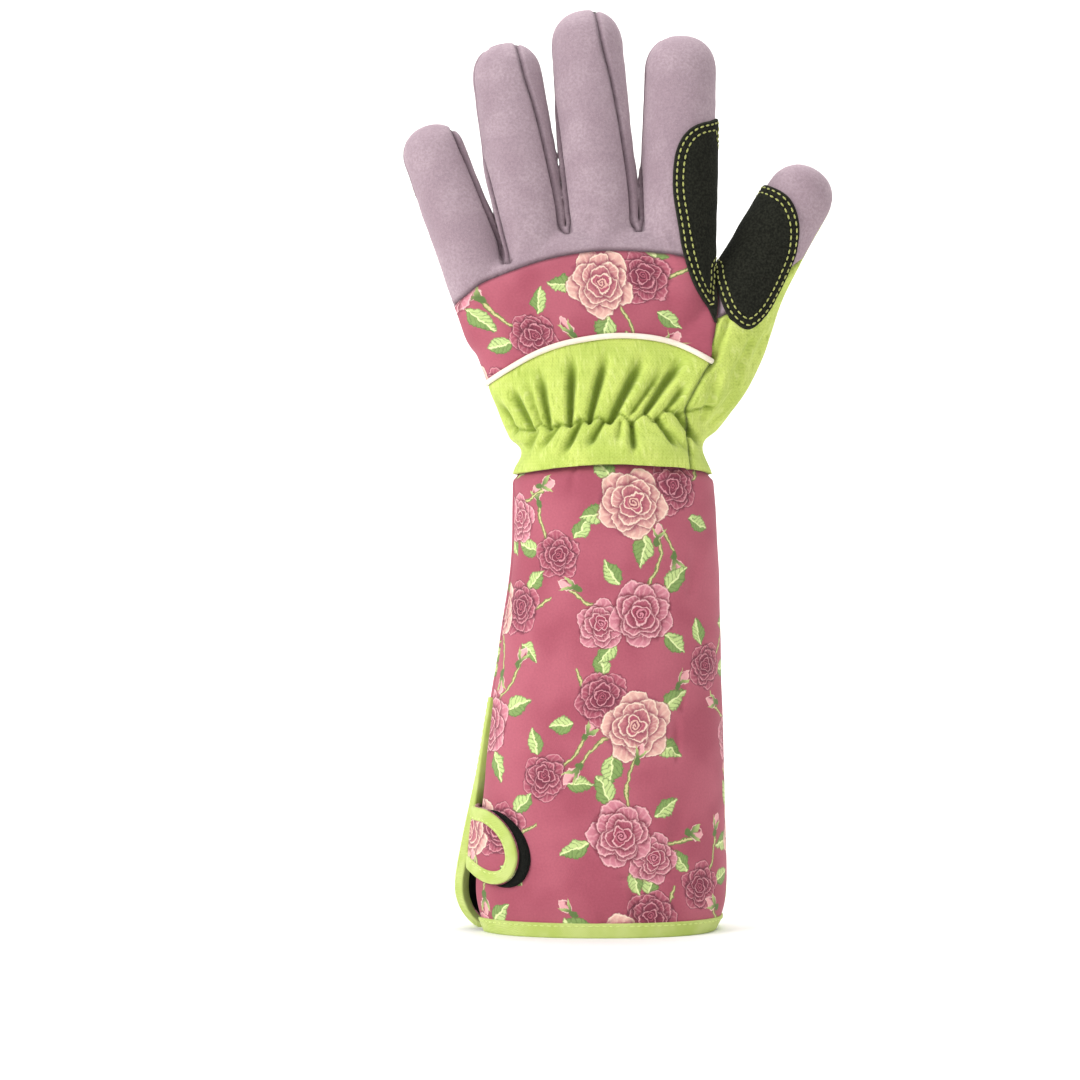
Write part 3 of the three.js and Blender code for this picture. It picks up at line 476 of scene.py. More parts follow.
def hand_form():
    """The whole hand as one closed skin, then opened at the wrist."""
    bm = bmesh.new()
    turns = np.linspace(0, 2 * math.pi, 64, endpoint=False)
    ups = np.concatenate([np.linspace(-1.35, -0.1, 8), np.linspace(0, HAND_ROWS["up"][-1], 26)])
    loft(bm, [hand_ring(up, turns) for up in ups])
    lines = [None, *(line for _, line in PARTINGS), None]
    for i, finger in enumerate(FINGERS):
        stall(bm, finger_axis(finger),
              lambda share, f=finger: mix(f["base"] * BASE_FULLNESS, f["tip"], share) * FINGER_RADIUS,
              lambda share: 0, curl_at, FINGER_DEPTH_SHARE, lines[i:i + 2])
    stall(bm, THUMB_AXIS, lambda share: along(THUMB_ROWS, "along", "round", share) * THUMB_RADIUS,
          lambda share: along(THUMB_ROWS, "along", "aside", share) * THUMB_RADIUS, thumb_forward,
          THUMB_FOOT["depth_share"])
    bmesh.ops.recalc_face_normals(bm, faces=bm.faces)
    raw = mesh_object("hand_form", bm)
    bm.free()
    remesh = raw.modifiers.new("skin", "REMESH")
    remesh.mode = "VOXEL"
    remesh.voxel_size = VOXEL
    bpy.context.view_layer.update()
    skin = bpy.data.meshes.new_from_object(raw.evaluated_get(bpy.context.evaluated_depsgraph_get()))
    bpy.data.objects.remove(raw)
    bm = bmesh.new()
    bm.from_mesh(skin)
    bpy.data.meshes.remove(skin)
    for _ in range(CALM_ROUNDS):
        calm(bm, 0.5)
    bmesh.ops.bisect_plane(bm, geom=bm.verts[:] + bm.edges[:] + bm.faces[:], dist=1e-4,
                           plane_co=(0, 0, -WRIST_DROP - BAND_LAP), plane_no=(0, 0, -1), clear_outer=True)
    move_out(bm, np.full(len(bm.verts), 0.25))
    close_partings(bm)
    opened = kept(bm, lambda co: band_edge(co) - co[:, 2])
    bm.free()
    return opened


def close_partings(bm):
    """Draws the sides of neighbouring fingers together until they almost touch, as in a filled glove."""
    co = places(bm)
    for web, line in PARTINGS:
        side = co[:, 0] - line(co[:, 2])
        near = np.exp(-((np.abs(side) - 0.9) / 0.8) ** 2)
        co[:, 0] -= np.sign(side) * 0.6 * near * smooth(web[1] - 6, web[1] + 4, co[:, 2])
    put_at(bm.verts, co)


def dress_form(bm):
    """The folds of the wrist, the gusset and the palm, the softness of a worn glove, and painted shade in the
    folds.
    """
    bm.normal_update()
    co = places(bm)
    facing = np.array([v.normal.y for v in bm.verts])
    back, palm = smooth(0.05, 0.5, -facing), smooth(0.05, 0.5, facing)
    line = np.array(ELASTIC_LINE, float)
    height = co[:, 2] - np.interp(co[:, 0], line[:, 0], line[:, 1])
    slack = np.exp(-((co[:, 2] - 18) / 10) ** 2) + 0.55 * np.exp(-((co[:, 2] + 3.5) / 5) ** 2)
    folds = 1.55 * fold_depths(co, WRIST_FOLDS, back)
    inset = smooth(50, 40, np.abs(co[:, 0]))
    elastic = 1.5 * np.exp(-(height / 1.1) ** 2) + 0.6 * np.exp(-((co[:, 2] - 8) / 6) ** 2)
    amount = back * (1.5 * slack - elastic * inset) - folds
    amount -= 1.7 * fold_depths(co, BACK_FOLDS, back) + 1.2 * fold_depths(co, PALM_FOLDS, palm)
    amount += 0.22 * softness(co, 26, 3) + 0.12 * softness(co, 11, 8)
    # Painted shade: each fold's depth and the elastic's crease on the back, kept per vertex for the knit to
    # darken
    fold_shade = bm.verts.layers.float.new("fold_shade")
    crease_shade = 0.85 * np.exp(-(height / 0.8) ** 2) * back * inset
    for vert, deep in zip(bm.verts, np.clip(np.maximum(folds / 3.6, crease_shade), 0, 1)):
        vert[fold_shade] = float(deep)
    move_out(bm, amount)
    calm(bm, 0.3)


# Cutting panels from a form
def cut_along(bm, verts, level):
    """Splits the faces among the vertices where the level passes through nothing, and returns that line."""
    level = dict(zip(verts, (float(v) for v in level)))
    edges = dict.fromkeys(e for v in verts for e in v.link_edges if e.other_vert(v) in level)
    crossing = [(e, *e.verts) for e in edges if level[e.verts[0]] * level[e.verts[1]] < 0]
    nearest = {}
    for edge, a, b in crossing:
        t = level[a] / (level[a] - level[b])
        for near, far, share in ((a, b, t), (b, a, 1 - t)):
            if share < 0.22 and share < nearest.get(near, (1, None))[0]:
                nearest[near] = (share, far)
    starts = {vert: vert.co.copy() for vert in nearest}
    for near, (share, far) in nearest.items():
        near.co = starts[near].lerp(starts.get(far, far.co), share)
        level[near] = 0.0
    on_line = [v for v in verts if abs(level[v]) < 1e-6]
    for edge, a, b in crossing:
        if level[a] and level[b]:
            on_line.append(bmesh.utils.edge_split(edge, a, level[a] / (level[a] - level[b]))[1])
    if on_line:
        bmesh.ops.connect_verts(bm, verts=on_line, check_degenerate=False)
    return on_line


def kept(bm, level_at):
    """The part of a form where the level is under nothing, as a mesh of its own."""
    part = bm.copy()
    far = level_at(middles(part.faces)) > 8
    bmesh.ops.delete(part, geom=[f for f, away in zip(list(part.faces), far) if away], context="FACES")
    cut_along(part, part.verts[:], level_at(places(part)))
    outside = level_at(middles(part.faces)) > 0
    bmesh.ops.delete(part, geom=[f for f, out in zip(list(part.faces), outside) if out], context="FACES")
    return part


def keep_largest(bm):
    """Drops the crumbs that a cut leaves beside the panel."""
    left = set(bm.faces)
    groups = []
    while left:
        start = left.pop()
        group, edge_of = [start], [start]
        while edge_of:
            face = edge_of.pop()
            for edge in face.edges:
                for other in edge.link_faces:
                    if other in left:
                        left.discard(other)
                        group.append(other)
                        edge_of.append(other)
        groups.append(group)
    groups.sort(key=len)
    crumbs = [f for group in groups[:-1] for f in group]
    bmesh.ops.delete(bm, geom=crumbs, context="FACES")


def distance_from(edges, co):
    """How far each point is from the nearest of the edges."""
    points = [e.verts[0].co.lerp(e.verts[1].co, t) for e in edges for t in (0, 0.25, 0.5, 0.75, 1)]
    tree = KDTree(len(points))
    for i, point in enumerate(points):
        tree.insert(point, i)
    tree.balance()
    return np.array([tree.find(c)[2] for c in co])


def rim_of(bm):
    return [e for e in bm.edges if e.is_boundary]


def note(bm, name, values):
    """Keeps one number a vertex for the finish to read."""
    layer = bm.verts.layers.float.get(name) or bm.verts.layers.float.new(name)
    for vert, value in zip(bm.verts, values):
        vert[layer] = float(value)


def runs_along(bm, level, wanted=None):
    """The level's zero line on a form, as runs of points with the normals there."""
    cut = bm.copy()
    cut.normal_update()
    on_line = list(dict.fromkeys(cut_along(cut, cut.verts[:], level)))
    if wanted is not None and on_line:
        fits = wanted(np.array([v.co[:] for v in on_line]))
        on_line = [v for v, fit in zip(on_line, fits) if fit]
    left = set(on_line)
    links = {v: [e.other_vert(v) for e in v.link_edges if e.other_vert(v) in left] for v in on_line}
    runs = []
    ends = sorted((v for v in on_line if len(links[v]) == 1), key=lambda v: v.co[:])
    rest = sorted(on_line, key=lambda v: v.co[:])
    for first in ends + rest:
        if first not in left:
            continue
        run = [first]
        left.discard(first)
        while True:
            ahead = [v for v in links[run[-1]] if v in left]
            if not ahead:
                break
            following = min(ahead, key=lambda v: (v.co - run[-1].co).length)
            run.append(following)
            left.discard(following)
        loop = len(run) > 12 and run[0] in links[run[-1]]
        if len(run) > 3:
            if loop:
                run.append(run[0])
            runs.append((np.array([v.co[:] for v in run]), np.array([v.normal[:] for v in run]), loop))
    cut.free()
    return runs


def even_run(points, normals, step, calm=2):
    """The same run with its points an even step apart and its small shakes taken out."""
    for _ in range(calm):
        inner = (points[:-2] + 2 * points[1:-1] + points[2:]) / 4
        points = np.vstack([points[:1], inner, points[-1:]])
    lengths = np.concatenate([[0], np.cumsum(np.linalg.norm(np.diff(points, axis=0), axis=1))])
    count = max(2, int(round(lengths[-1] / step)) + 1)
    at = np.linspace(0, lengths[-1], count)
    points = np.column_stack([np.interp(at, lengths, points[:, i]) for i in range(3)])
    normals = np.column_stack([np.interp(at, lengths, normals[:, i]) for i in range(3)])
    return points, normals / np.linalg.norm(normals, axis=1)[:, None]


def lay_stitches(bm, points, normals, rise=0.1, pitch=STITCH_PITCH, length=STITCH_LENGTH, width=STITCH_WIDTH):
    """Short threads laid end to end along a run."""
    points, normals = even_run(points, normals, pitch / 2)
    for i in range(1, len(points) - 1, 2):
        way = Vector(points[i + 1] - points[i - 1]).normalized()
        out = Vector(normals[i])
        side = out.cross(way).normalized()
        out = way.cross(side)
        turn = Matrix((way, side, out)).transposed().to_4x4()
        size = Matrix.Diagonal((length / 2, width / 2, width / 2.4, 1))
        spot = Matrix.Translation(Vector(points[i]) + out * rise)
        bmesh.ops.create_uvsphere(bm, u_segments=6, v_segments=4, radius=1, matrix=spot @ turn @ size)


def bar(width, thick, lap, corner=0.45, steps=3):
    """The section of a binding: from lap outside the edge to width inside it, on both faces of the cloth."""
    low, high, inner, outer = -lap, width, -thick[1], thick[0]
    made = []
    for x, y, start in ((high - corner, outer - corner, 0), (low + corner, outer - corner, 90),
                        (low + corner, inner + corner, 180), (high - corner, inner + corner, 270)):
        for i in range(steps + 1):
            turn = math.radians(start + 90 * i / steps)
            made.append((x + corner * math.cos(turn), y + corner * math.sin(turn)))
    return made


def sweep(points, normals, section, closed=False):
    """A section carried along a run. It lies across the run and along its normals."""
    bm = bmesh.new()
    ways = np.gradient(points, axis=0)
    if closed:
        ways[0] = ways[-1] = points[1] - points[-2]
        points, normals, ways = points[:-1], normals[:-1], ways[:-1]
    sections = []
    for point, normal, way in zip(points, normals, ways):
        way = way / np.linalg.norm(way)
        side = np.cross(normal, way)
        side /= np.linalg.norm(side)
        out = np.cross(way, side)
        sections.append([point + side * a + out * b for a, b in section])
    loft(bm, sections, closed)
    bmesh.ops.recalc_face_normals(bm, faces=bm.faces)
    return bm


def cut_size(bm, legs=1, fullness=1):
    """The flat width, length and area that a piece was cut to, from its faces, height by height."""
    heights = np.array([f.calc_center_median().z for f in bm.faces])
    areas = np.array([f.calc_area() for f in bm.faces])
    low, high = min(v.co.z for v in bm.verts), max(v.co.z for v in bm.verts)
    steps = max(2, round((high - low) / 8))
    share, _ = np.histogram(heights, steps, (low, high), weights=areas)
    wide = share.max() / (high - low) * steps
    return ((wide * fullness / legs / 1000, (high - low) * legs / 1000), areas.sum() * fullness / 1e6)


def finish_piece(name, bm, finishes, slot=None, wall=0, held=None, cut=None):
    """Brings a piece to metres, gives it its finish and its wall, and lets it ride on the glove. A piece with
    a slot stands for the solid of its name."""
    cut = cut or (held and cut_size(bm))
    bmesh.ops.scale(bm, vec=(0.001, 0.001, 0.001), verts=bm.verts)
    for face in bm.faces:
        face.smooth = True
    made = mesh_object(f"{name}_sewn" if slot else name, bm)
    bm.free()
    for finish in finishes if isinstance(finishes, (list, tuple)) else [finishes]:
        made.data.materials.append(finish)
    if wall:
        cloth = made.modifiers.new("wall", "SOLIDIFY")
        cloth.thickness = wall * 0.001
        cloth.offset = -1
        cloth.use_even_offset = False
        cloth.material_offset = len(made.data.materials) - 1
    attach(made, "root")
    if slot:
        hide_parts(name)


# Finishes
class Amount:
    """A number that the finish works out at each point, written like arithmetic."""

    def __init__(self, finish, socket):
        self.finish, self.socket = finish, socket

    def then(self, operation, *others):
        node = self.finish.node("ShaderNodeMath", operation=operation)
        for i, value in enumerate((self, *others)):
            self.finish.put(value, node.inputs[i])
        return Amount(self.finish, node.outputs[0])

    def __add__(self, other):
        return self.then("ADD", other)

    def __sub__(self, other):
        return self.then("SUBTRACT", other)

    def __mul__(self, other):
        return self.then("MULTIPLY", other)

    def __truediv__(self, other):
        return self.then("DIVIDE", other)

    __radd__ = __add__
    __rmul__ = __mul__

    def __rsub__(self, other):
        return (self * -1) + other

    def __pow__(self, other):
        return self.then("POWER", other)

    def __abs__(self):
        return self.then("ABSOLUTE")

    def times_plus(self, times, plus):
        return self.then("MULTIPLY_ADD", times, plus)

    def turn_to(self, other):
        """The angle of the place that lies this far up and the other far across."""
        return self.then("ARCTAN2", other)

    def sine(self):
        return self.then("SINE")

    def cosine(self):
        return self.then("COSINE")

    def whole(self):
        return self.then("FLOOR")

    def rest(self):
        return self.then("FRACT")

    def under(self, other):
        return self.then("MINIMUM", other)

    def over(self, other):
        return self.then("MAXIMUM", other)

    def ease(self, low, high):
        """0 below low and 1 above high, or the other way round, with a soft step between."""
        node = self.finish.node("ShaderNodeMapRange", interpolation_type="SMOOTHSTEP")
        turned = low > high
        self.finish.put(self, node.inputs[0])
        node.inputs[1].default_value, node.inputs[2].default_value = min(low, high), max(low, high)
        node.inputs[3].default_value, node.inputs[4].default_value = (1, 0) if turned else (0, 1)
        return Amount(self.finish, node.outputs[0])


def colour(code):
    """A colour as the eye reads it, in the render's own scale."""
    parts = [int(code[i:i + 2], 16) / 255 for i in (1, 3, 5)]
    return tuple(p / 12.92 if p <= 0.04045 else ((p + 0.055) / 1.055) ** 2.4 for p in parts) + (1.0,)


class Finish:
    """One material, built up from its own patterns."""

    def __init__(self, name, roughness=0.9, sheen=0.0, sheen_tint="#FFFFFF", specular=0.3):
        self.material = bpy.data.materials.new(name)
        self.material.use_nodes = True
        self.tree = self.material.node_tree
        self.shader = self.tree.nodes["Principled BSDF"]
        self.shader.inputs["Roughness"].default_value = roughness
        self.shader.inputs["Specular IOR Level"].default_value = specular
        self.shader.inputs["Sheen Weight"].default_value = sheen
        self.shader.inputs["Sheen Roughness"].default_value = 0.6
        self.shader.inputs["Sheen Tint"].default_value = colour(sheen_tint)
        spot = self.node("ShaderNodeTexCoord").outputs["Object"]
        scaled = self.node("ShaderNodeVectorMath", operation="MULTIPLY")
        self.tree.links.new(spot, scaled.inputs[0])
        scaled.inputs[1].default_value = (1000, 1000, 1000)
        self.spot = scaled.outputs[0]

    def node(self, kind, **facts):
        made = self.tree.nodes.new(kind)
        for name, value in facts.items():
            setattr(made, name, value)
        return made

    def put(self, value, socket):
        if isinstance(value, Amount):
            self.tree.links.new(value.socket, socket)
        elif isinstance(value, bpy.types.NodeSocket):
            self.tree.links.new(value, socket)
        else:
            socket.default_value = value

    def split(self, vector):
        node = self.node("ShaderNodeSeparateXYZ")
        self.put(vector, node.inputs[0])
        return [Amount(self, out) for out in node.outputs]

    def join(self, x, y, z=0.0):
        node = self.node("ShaderNodeCombineXYZ")
        for value, socket in zip((x, y, z), node.inputs):
            self.put(value, socket)
        return node.outputs[0]

    def kept_number(self, name):
        return Amount(self, self.node("ShaderNodeAttribute", attribute_name=name).outputs["Fac"])

    def cloth_place(self):
        """Where the point lies on its flat cloth, in millimetres."""
        return self.split(self.node("ShaderNodeUVMap", uv_map="cloth").outputs[0])[:2]

    def noise(self, size, detail=2.0, vector=None, roughness=0.5):
        """Cloudy unevenness with lumps of about the size in millimetres, round 0.5."""
        node = self.node("ShaderNodeTexNoise")
        self.put(self.spot if vector is None else vector, node.inputs["Vector"])
        node.inputs["Scale"].default_value = 1 / size
        node.inputs["Detail"].default_value = detail
        node.inputs["Roughness"].default_value = roughness
        return Amount(self, node.outputs[0])

    def chance(self, x, y, seed):
        """Three even chances for a square of the cloth."""
        node = self.node("ShaderNodeTexWhiteNoise", noise_dimensions="3D")
        self.put(self.join(x, y, seed), node.inputs["Vector"])
        return self.split(node.outputs["Color"])

    def blend(self, share, low, high):
        node = self.node("ShaderNodeMix", data_type="RGBA", clamp_factor=True)
        self.put(share, node.inputs[0])
        for value, socket in ((low, node.inputs[6]), (high, node.inputs[7])):
            self.put(colour(value) if isinstance(value, str) else value, socket)
        return node.outputs[2]

    def shade(self, base, amount):
        """Darkens or lightens a colour by an amount round 1."""
        node = self.node("ShaderNodeMix", data_type="RGBA", blend_type="MULTIPLY", clamp_factor=True)
        node.inputs[0].default_value = 1.0
        self.put(base, node.inputs[6])
        self.put(self.join(amount, amount, amount), node.inputs[7])
        return node.outputs[2]

    def done(self, base, height=None, strength=0.3, distance=0.4):
        self.put(colour(base) if isinstance(base, str) else base, self.shader.inputs["Base Color"])
        if height is not None:
            bump = self.node("ShaderNodeBump")
            bump.inputs["Strength"].default_value = strength
            bump.inputs["Distance"].default_value = distance * 0.001
            self.put(height, bump.inputs["Height"])
            self.put(bump.outputs[0], self.shader.inputs["Normal"])
        return self.material


def suede_finish():
    f = Finish("mauve_suede", roughness=0.95, sheen=0.35, sheen_tint="#E6D6DC", specular=0.15)
    nap, fine, slow = f.noise(1.1, 3), f.noise(0.35, 2), f.noise(16, 3)
    seam = f.kept_number("seam")
    base = f.blend(slow.ease(0.3, 0.7), "#99848D", "#AB979F")
    base = f.blend(nap.ease(0.3, 0.7) * 0.6, base, "#8A7680")
    base = f.blend(fine.ease(0.52, 0.75) * 0.35, base, "#C3B2B9")
    # Painted shade along the seams
    base = f.blend(seam.ease(2.0, 0.1) * 0.75, base, "#5A4851")
    return f.done(base, nap * 0.5 + fine * 0.5, 0.5, 0.4)


def knit_finish():
    f = Finish("lime_knit", roughness=0.9, sheen=0.25, sheen_tint="#F2F8C8", specular=0.15)
    u, v = f.cloth_place()
    wales = (u * (2 * math.pi / 1.25)).sine()
    courses = (v * (2 * math.pi / 1.5) + wales * 0.8).sine()
    knit = wales * courses
    slow, streaks = f.noise(14, 2), f.noise(1.0, 2, f.join(u, v * 0.2))
    base = f.blend(slow.ease(0.3, 0.7), "#B5C75E", "#C6D56C")
    base = f.blend(knit.ease(-0.2, -0.9) * 0.3, base, "#93A63C")
    # Painted shade and highlight: the long streaks darken the knit in some places and lighten it in others,
    # as on the furrows and ridges of small gathers; they also bump the knit
    base = f.blend(streaks.ease(0.45, 0.3) * 0.55, base, "#97AB42")
    base = f.blend(streaks.ease(0.55, 0.7) * 0.45, base, "#DCE592")
    # Painted shade in the folds of the band and in the elastic's crease
    base = f.blend(f.kept_number("fold_shade").ease(0.1, 0.95) * 0.85, base, "#6E8420")
    # Painted shade along the seams
    base = f.blend(f.kept_number("seam").ease(1.6, 0.1) * 0.6, base, "#65782C")
    return f.done(base, knit * 0.35 + streaks * 0.8 + f.noise(0.6, 2) * 0.3, 0.6, 0.4)


def lime_tape_finish():
    f = Finish("lime_tape", roughness=0.8, sheen=0.2, sheen_tint="#F2F8C8", specular=0.2)
    x, y, z = f.split(f.spot)
    ribs = ((x + y + z) * (2 * math.pi / 0.8)).sine()
    base = f.blend(f.noise(9, 2).ease(0.3, 0.7), "#AFC162", "#C0CE7C")
    return f.done(f.blend(ribs.ease(0.2, 1) * 0.2, base, "#95A84A"), ribs, 0.3, 0.2)


def black_finish():
    f = Finish("black_patch_cloth", roughness=1.0, sheen=0.13, sheen_tint="#62625A", specular=0.08)
    fuzz, fine = f.noise(0.9, 3), f.noise(0.3, 2)
    rim = f.kept_number("rim")
    pulled = abs(rim - STITCH_ROWS[0]).ease(0.9, 0) + abs(rim - STITCH_ROWS[1]).ease(0.9, 0)
    base = f.blend(fuzz.ease(0.3, 0.75), "#171814", "#2B2C25")
    base = f.blend(rim.ease(0.7, 0) * 0.5, base, "#3E3F36")
    return f.done(base, fuzz * 0.4 + fine * 0.4 - pulled * 0.9, 0.5, 0.5)


def cream_finish():
    f = Finish("cream_piping", roughness=0.6, sheen=0.1, specular=0.35)
    x, y, z = f.split(f.spot)
    twist = ((x * 0.8 + z * 1.4 + y) * (2 * math.pi / 0.7)).sine()
    return f.done(f.blend(f.noise(5, 2), "#E8D9C4", "#F7EDE2"), twist, 0.25, 0.15)


def thread_finish(name, light, dark):
    f = Finish(name, roughness=0.7, sheen=0.1, specular=0.3)
    x, y, z = f.split(f.spot)
    ply = ((x + z * 0.7 + y * 0.4) * (2 * math.pi / 0.5)).sine()
    return f.done(f.blend(ply.ease(-0.6, 0.8), dark, light), ply, 0.4, 0.15)


# Black loop pile, which also stands for the tab's painted shadow where the pad shows beside the tab
def loop_pile_shadow_finish():
    f = Finish("loop_pile", roughness=1.0, sheen=0.3, sheen_tint="#555555", specular=0.05)
    pile = f.noise(0.45, 3, roughness=0.7)
    return f.done(f.blend(pile.ease(0.35, 0.7), "#0D0E0C", "#262723"), pile, 1.0, 0.9)


def lining_finish():
    f = Finish("dark_lining", roughness=0.9, specular=0.2)
    x, y, z = f.split(f.spot)
    weave = ((x + y) * (2 * math.pi / 0.9)).sine() * (z * (2 * math.pi / 0.9)).sine()
    return f.done(f.blend(f.noise(6, 2), "#2C2D2C", "#3C3D3B"), weave, 0.3, 0.2)


# The print: sprays of roses, leaves and buds, repeated over the cloth with every second column dropped by
# half. Places are in millimetres from the middle of a spray, turns in degrees.
REPEAT = (70, 92)
# Rings of petals from the outside in: how many petals, their turn, how far they reach, how deep they are cut
PETAL_RINGS = ((5, 0.3, 0.76, 0.24), (5, 1.8, 0.6, 0.22), (4, 0.7, 0.47, 0.18), (3, 0.2, 0.34, 0.14),
               (3, 1.6, 0.22, 0.1))
ROSE_TINTS = {
    "pink": ("#CB8290", "#9C4358", "#E8B5B8", "#74303F"),
    "cream": ("#DDAFA2", "#AE5468", "#F0D8C4", "#8A4253"),
    "deep": ("#AA5768", "#7A3043", "#D3929B", "#5F2737"),
}
SPRAYS = (
    {"place": (45, 89),
     "stems": (((0, 0), 60, 24, -0.8),),
     "leaves": (((9, 0), 10, 13, 0.32), ((-6, 8), 120, 12, 0.32)),
     "buds": (((12, 21), 66, 8),),
     "roses": (((0, 0), 10.5, "deep", 2.6),)},
    {"place": (10, 66),
     "stems": (((2, -4), -62, 26, 0.9), ((10, 2), 28, 23, -0.8)),
     "leaves": (((-10, 9), 128, 15, 0.32), ((-13, -4), 190, 14, 0.32), ((2, -14), 258, 15, 0.34),
                ((18, 13), 62, 13, 0.32), ((22, -8), -28, 12, 0.32)),
     "buds": (((14, -25), -68, 9), ((-14, 21), 112, 8)),
     "roses": (((15, 5), 12, "deep", 1.1), ((-3, -1), 15.5, "cream", 0.2))},
    {"place": (10, 20),
     "stems": (((-8, 2), 158, 22, 0.9), ((4, 10), 74, 22, -0.7)),
     "leaves": (((11, 8), 40, 15, 0.32), ((-8, 11), 118, 13, 0.32), ((12, -10), -44, 14, 0.32),
                ((-9, -12), 232, 12, 0.32)),
     "buds": (((-26, 11), 160, 8.5), ((9, 29), 80, 8)),
     "roses": (((-15, -5), 11, "pink", 2.2), ((2, -1), 14.5, "pink", 4.0))},
)


class Print(Finish):
    """The rose print's own shapes, each drawn over what is there already."""

    def turned(self, x, y, place, turn, size=1.0):
        """The point seen from a place, along a turn and across it, as shares of a size."""
        turn = math.radians(turn)
        x, y = x - place[0], y - place[1]
        c, s = math.cos(turn) / size, math.sin(turn) / size
        return x.times_plus(c, y * s), y.times_plus(c, x * -s)

    def far(self, x, y):
        node = self.node("ShaderNodeVectorMath", operation="LENGTH")
        self.put(self.join(x, y), node.inputs[0])
        return Amount(self, node.outputs["Value"])

    def leaf_edge(self, x, y, slim, point=0.8):
        """How far inside a leaf shape a point lies. It runs from 0 to 1 along x."""
        return ((x.under(1) ** point) * math.pi).sine() * slim - abs(y)

    def stem(self, base, x, y, place, turn, length, bow):
        x, y = self.turned(x, y, place, turn)
        line = abs(y - (x * (math.pi / length)).sine() * (bow * 3))
        ends = x.ease(-0.3, 0.3) * x.ease(length + 0.3, length - 0.3)
        base = self.blend(line.ease(0.95, 0.6) * ends, base, "#6B7A44")
        return self.blend(line.ease(0.5, 0.2) * ends, base, "#C9C488")

    def leaf(self, base, x, y, place, turn, length, slim):
        x, y = self.turned(x, y, place, turn, length)
        teeth = (x * 9).rest()
        edge = self.leaf_edge(x, y, slim) - teeth * 0.035
        side = y.ease(-0.02, 0.02)
        veins = (x.times_plus(6.5, abs(y) * -5.5)).rest()
        tint = self.blend(side, "#7F9A58", "#BCD088")
        tint = self.blend(veins.ease(0.34, 0.08) * 0.7, tint, "#5F7A42")
        tint = self.blend(abs(y).ease(0.035, 0.012), tint, "#DCE6A6")
        tint = self.blend(edge.ease(0.075, 0.02) * 0.75, tint, "#4F6A38")
        return self.blend(edge.ease(0, 0.03), base, tint)

    def bud(self, base, x, y, place, turn, size):
        x, y = self.turned(x, y, place, turn, size)
        fold = abs(y)
        petals = self.leaf_edge(x, y, 0.34, 0.72)
        tint = self.blend((y.times_plus(7, x * 1.5)).sine().ease(-0.3, 0.6), "#8E3D50", "#E0A3A6")
        tint = self.blend(petals.ease(0.1, 0.03), tint, "#EFC9C2")
        base = self.blend(petals.ease(0, 0.05), base, tint)
        leafy = self.leaf_edge(x.times_plus(0.86, fold * 0.5) + 0.12, x * 0.5 - fold * 0.86 - 0.02, 0.11)
        hips = self.far(x * 0.8 + 0.08, y).ease(0.2, 0.14)
        green = self.blend(x.ease(0, 0.7), "#5C7440", "#B4C67E")
        return self.blend(leafy.ease(0, 0.04).over(hips), base, green)

    def rose(self, base, x, y, place, size, tint, turn):
        outer, inner, rim, shadow = ROSE_TINTS[tint]
        x, y = (x - place[0]) / size, (y - place[1]) / size
        far, round_it = self.far(x, y), y.turn_to(x)
        heart_x, heart_y = x - 0.06 * math.cos(turn), y - 0.06 * math.sin(turn)
        streaks = (round_it.times_plus(27, far * 9)).sine()
        smudge = self.smudge.ease(0.3, 0.6).times_plus(0.5, 0.5)
        for i, (petals, start, reach, cut) in enumerate(PETAL_RINGS):
            if i == 2:
                far, round_it = self.far(heart_x, heart_y), heart_y.turn_to(heart_x)
            lobes = abs(round_it.times_plus(petals / 2, start + turn).cosine())
            edge = lobes.times_plus(cut, reach) - far
            base = self.blend(edge.ease(-0.13 if i else -0.05, 0.03) * smudge, base, shadow)
            base = self.blend(edge.ease(0, 0.035), base, rim)
            petal = self.blend(i / 4, outer, inner)
            petal = self.blend(edge.ease(0.06, 0.3) * 0.45, petal, inner)
            petal = self.blend(streaks.ease(0.1, 0.9) * 0.3, petal, rim if i < 3 else shadow)
            base = self.blend(edge.ease(0.03, 0.075), base, petal)
        swirl = (far * 11 + round_it * (1 / (2 * math.pi)) + turn).rest()
        heart = self.blend(swirl.ease(0.3, 0.65), shadow, outer)
        return self.blend(far.ease(0.2, 0.14), base, heart)

    def spray(self, base, u, v, spray, seed):
        width, height = REPEAT
        x = u - spray["place"][0]
        column = (x / width + 0.5).whole()
        x = x - column * width
        y = v - spray["place"][1] - (column * 0.5).rest() * height
        row = (y / height + 0.5).whole()
        y = y - row * height
        lean, flip, _ = self.chance(column, row, seed)
        lean = (lean - 0.5) * 0.9
        flip = flip.ease(0.495, 0.505) * 2 - 1
        c, s = lean.cosine(), lean.sine()
        x, y = (x * c + y * s) * flip, y * c - x * s
        for place, turn, length, bow in spray["stems"]:
            base = self.stem(base, x, y, place, turn, length, bow)
        for place, turn, length, slim in spray["leaves"]:
            base = self.leaf(base, x, y, place, turn, length, slim)
        for place, turn, size in spray["buds"]:
            base = self.bud(base, x, y, place, turn, size)
        for place, size, tint, turn in spray["roses"]:
            base = self.rose(base, x, y, place, size, tint, turn)
        return base


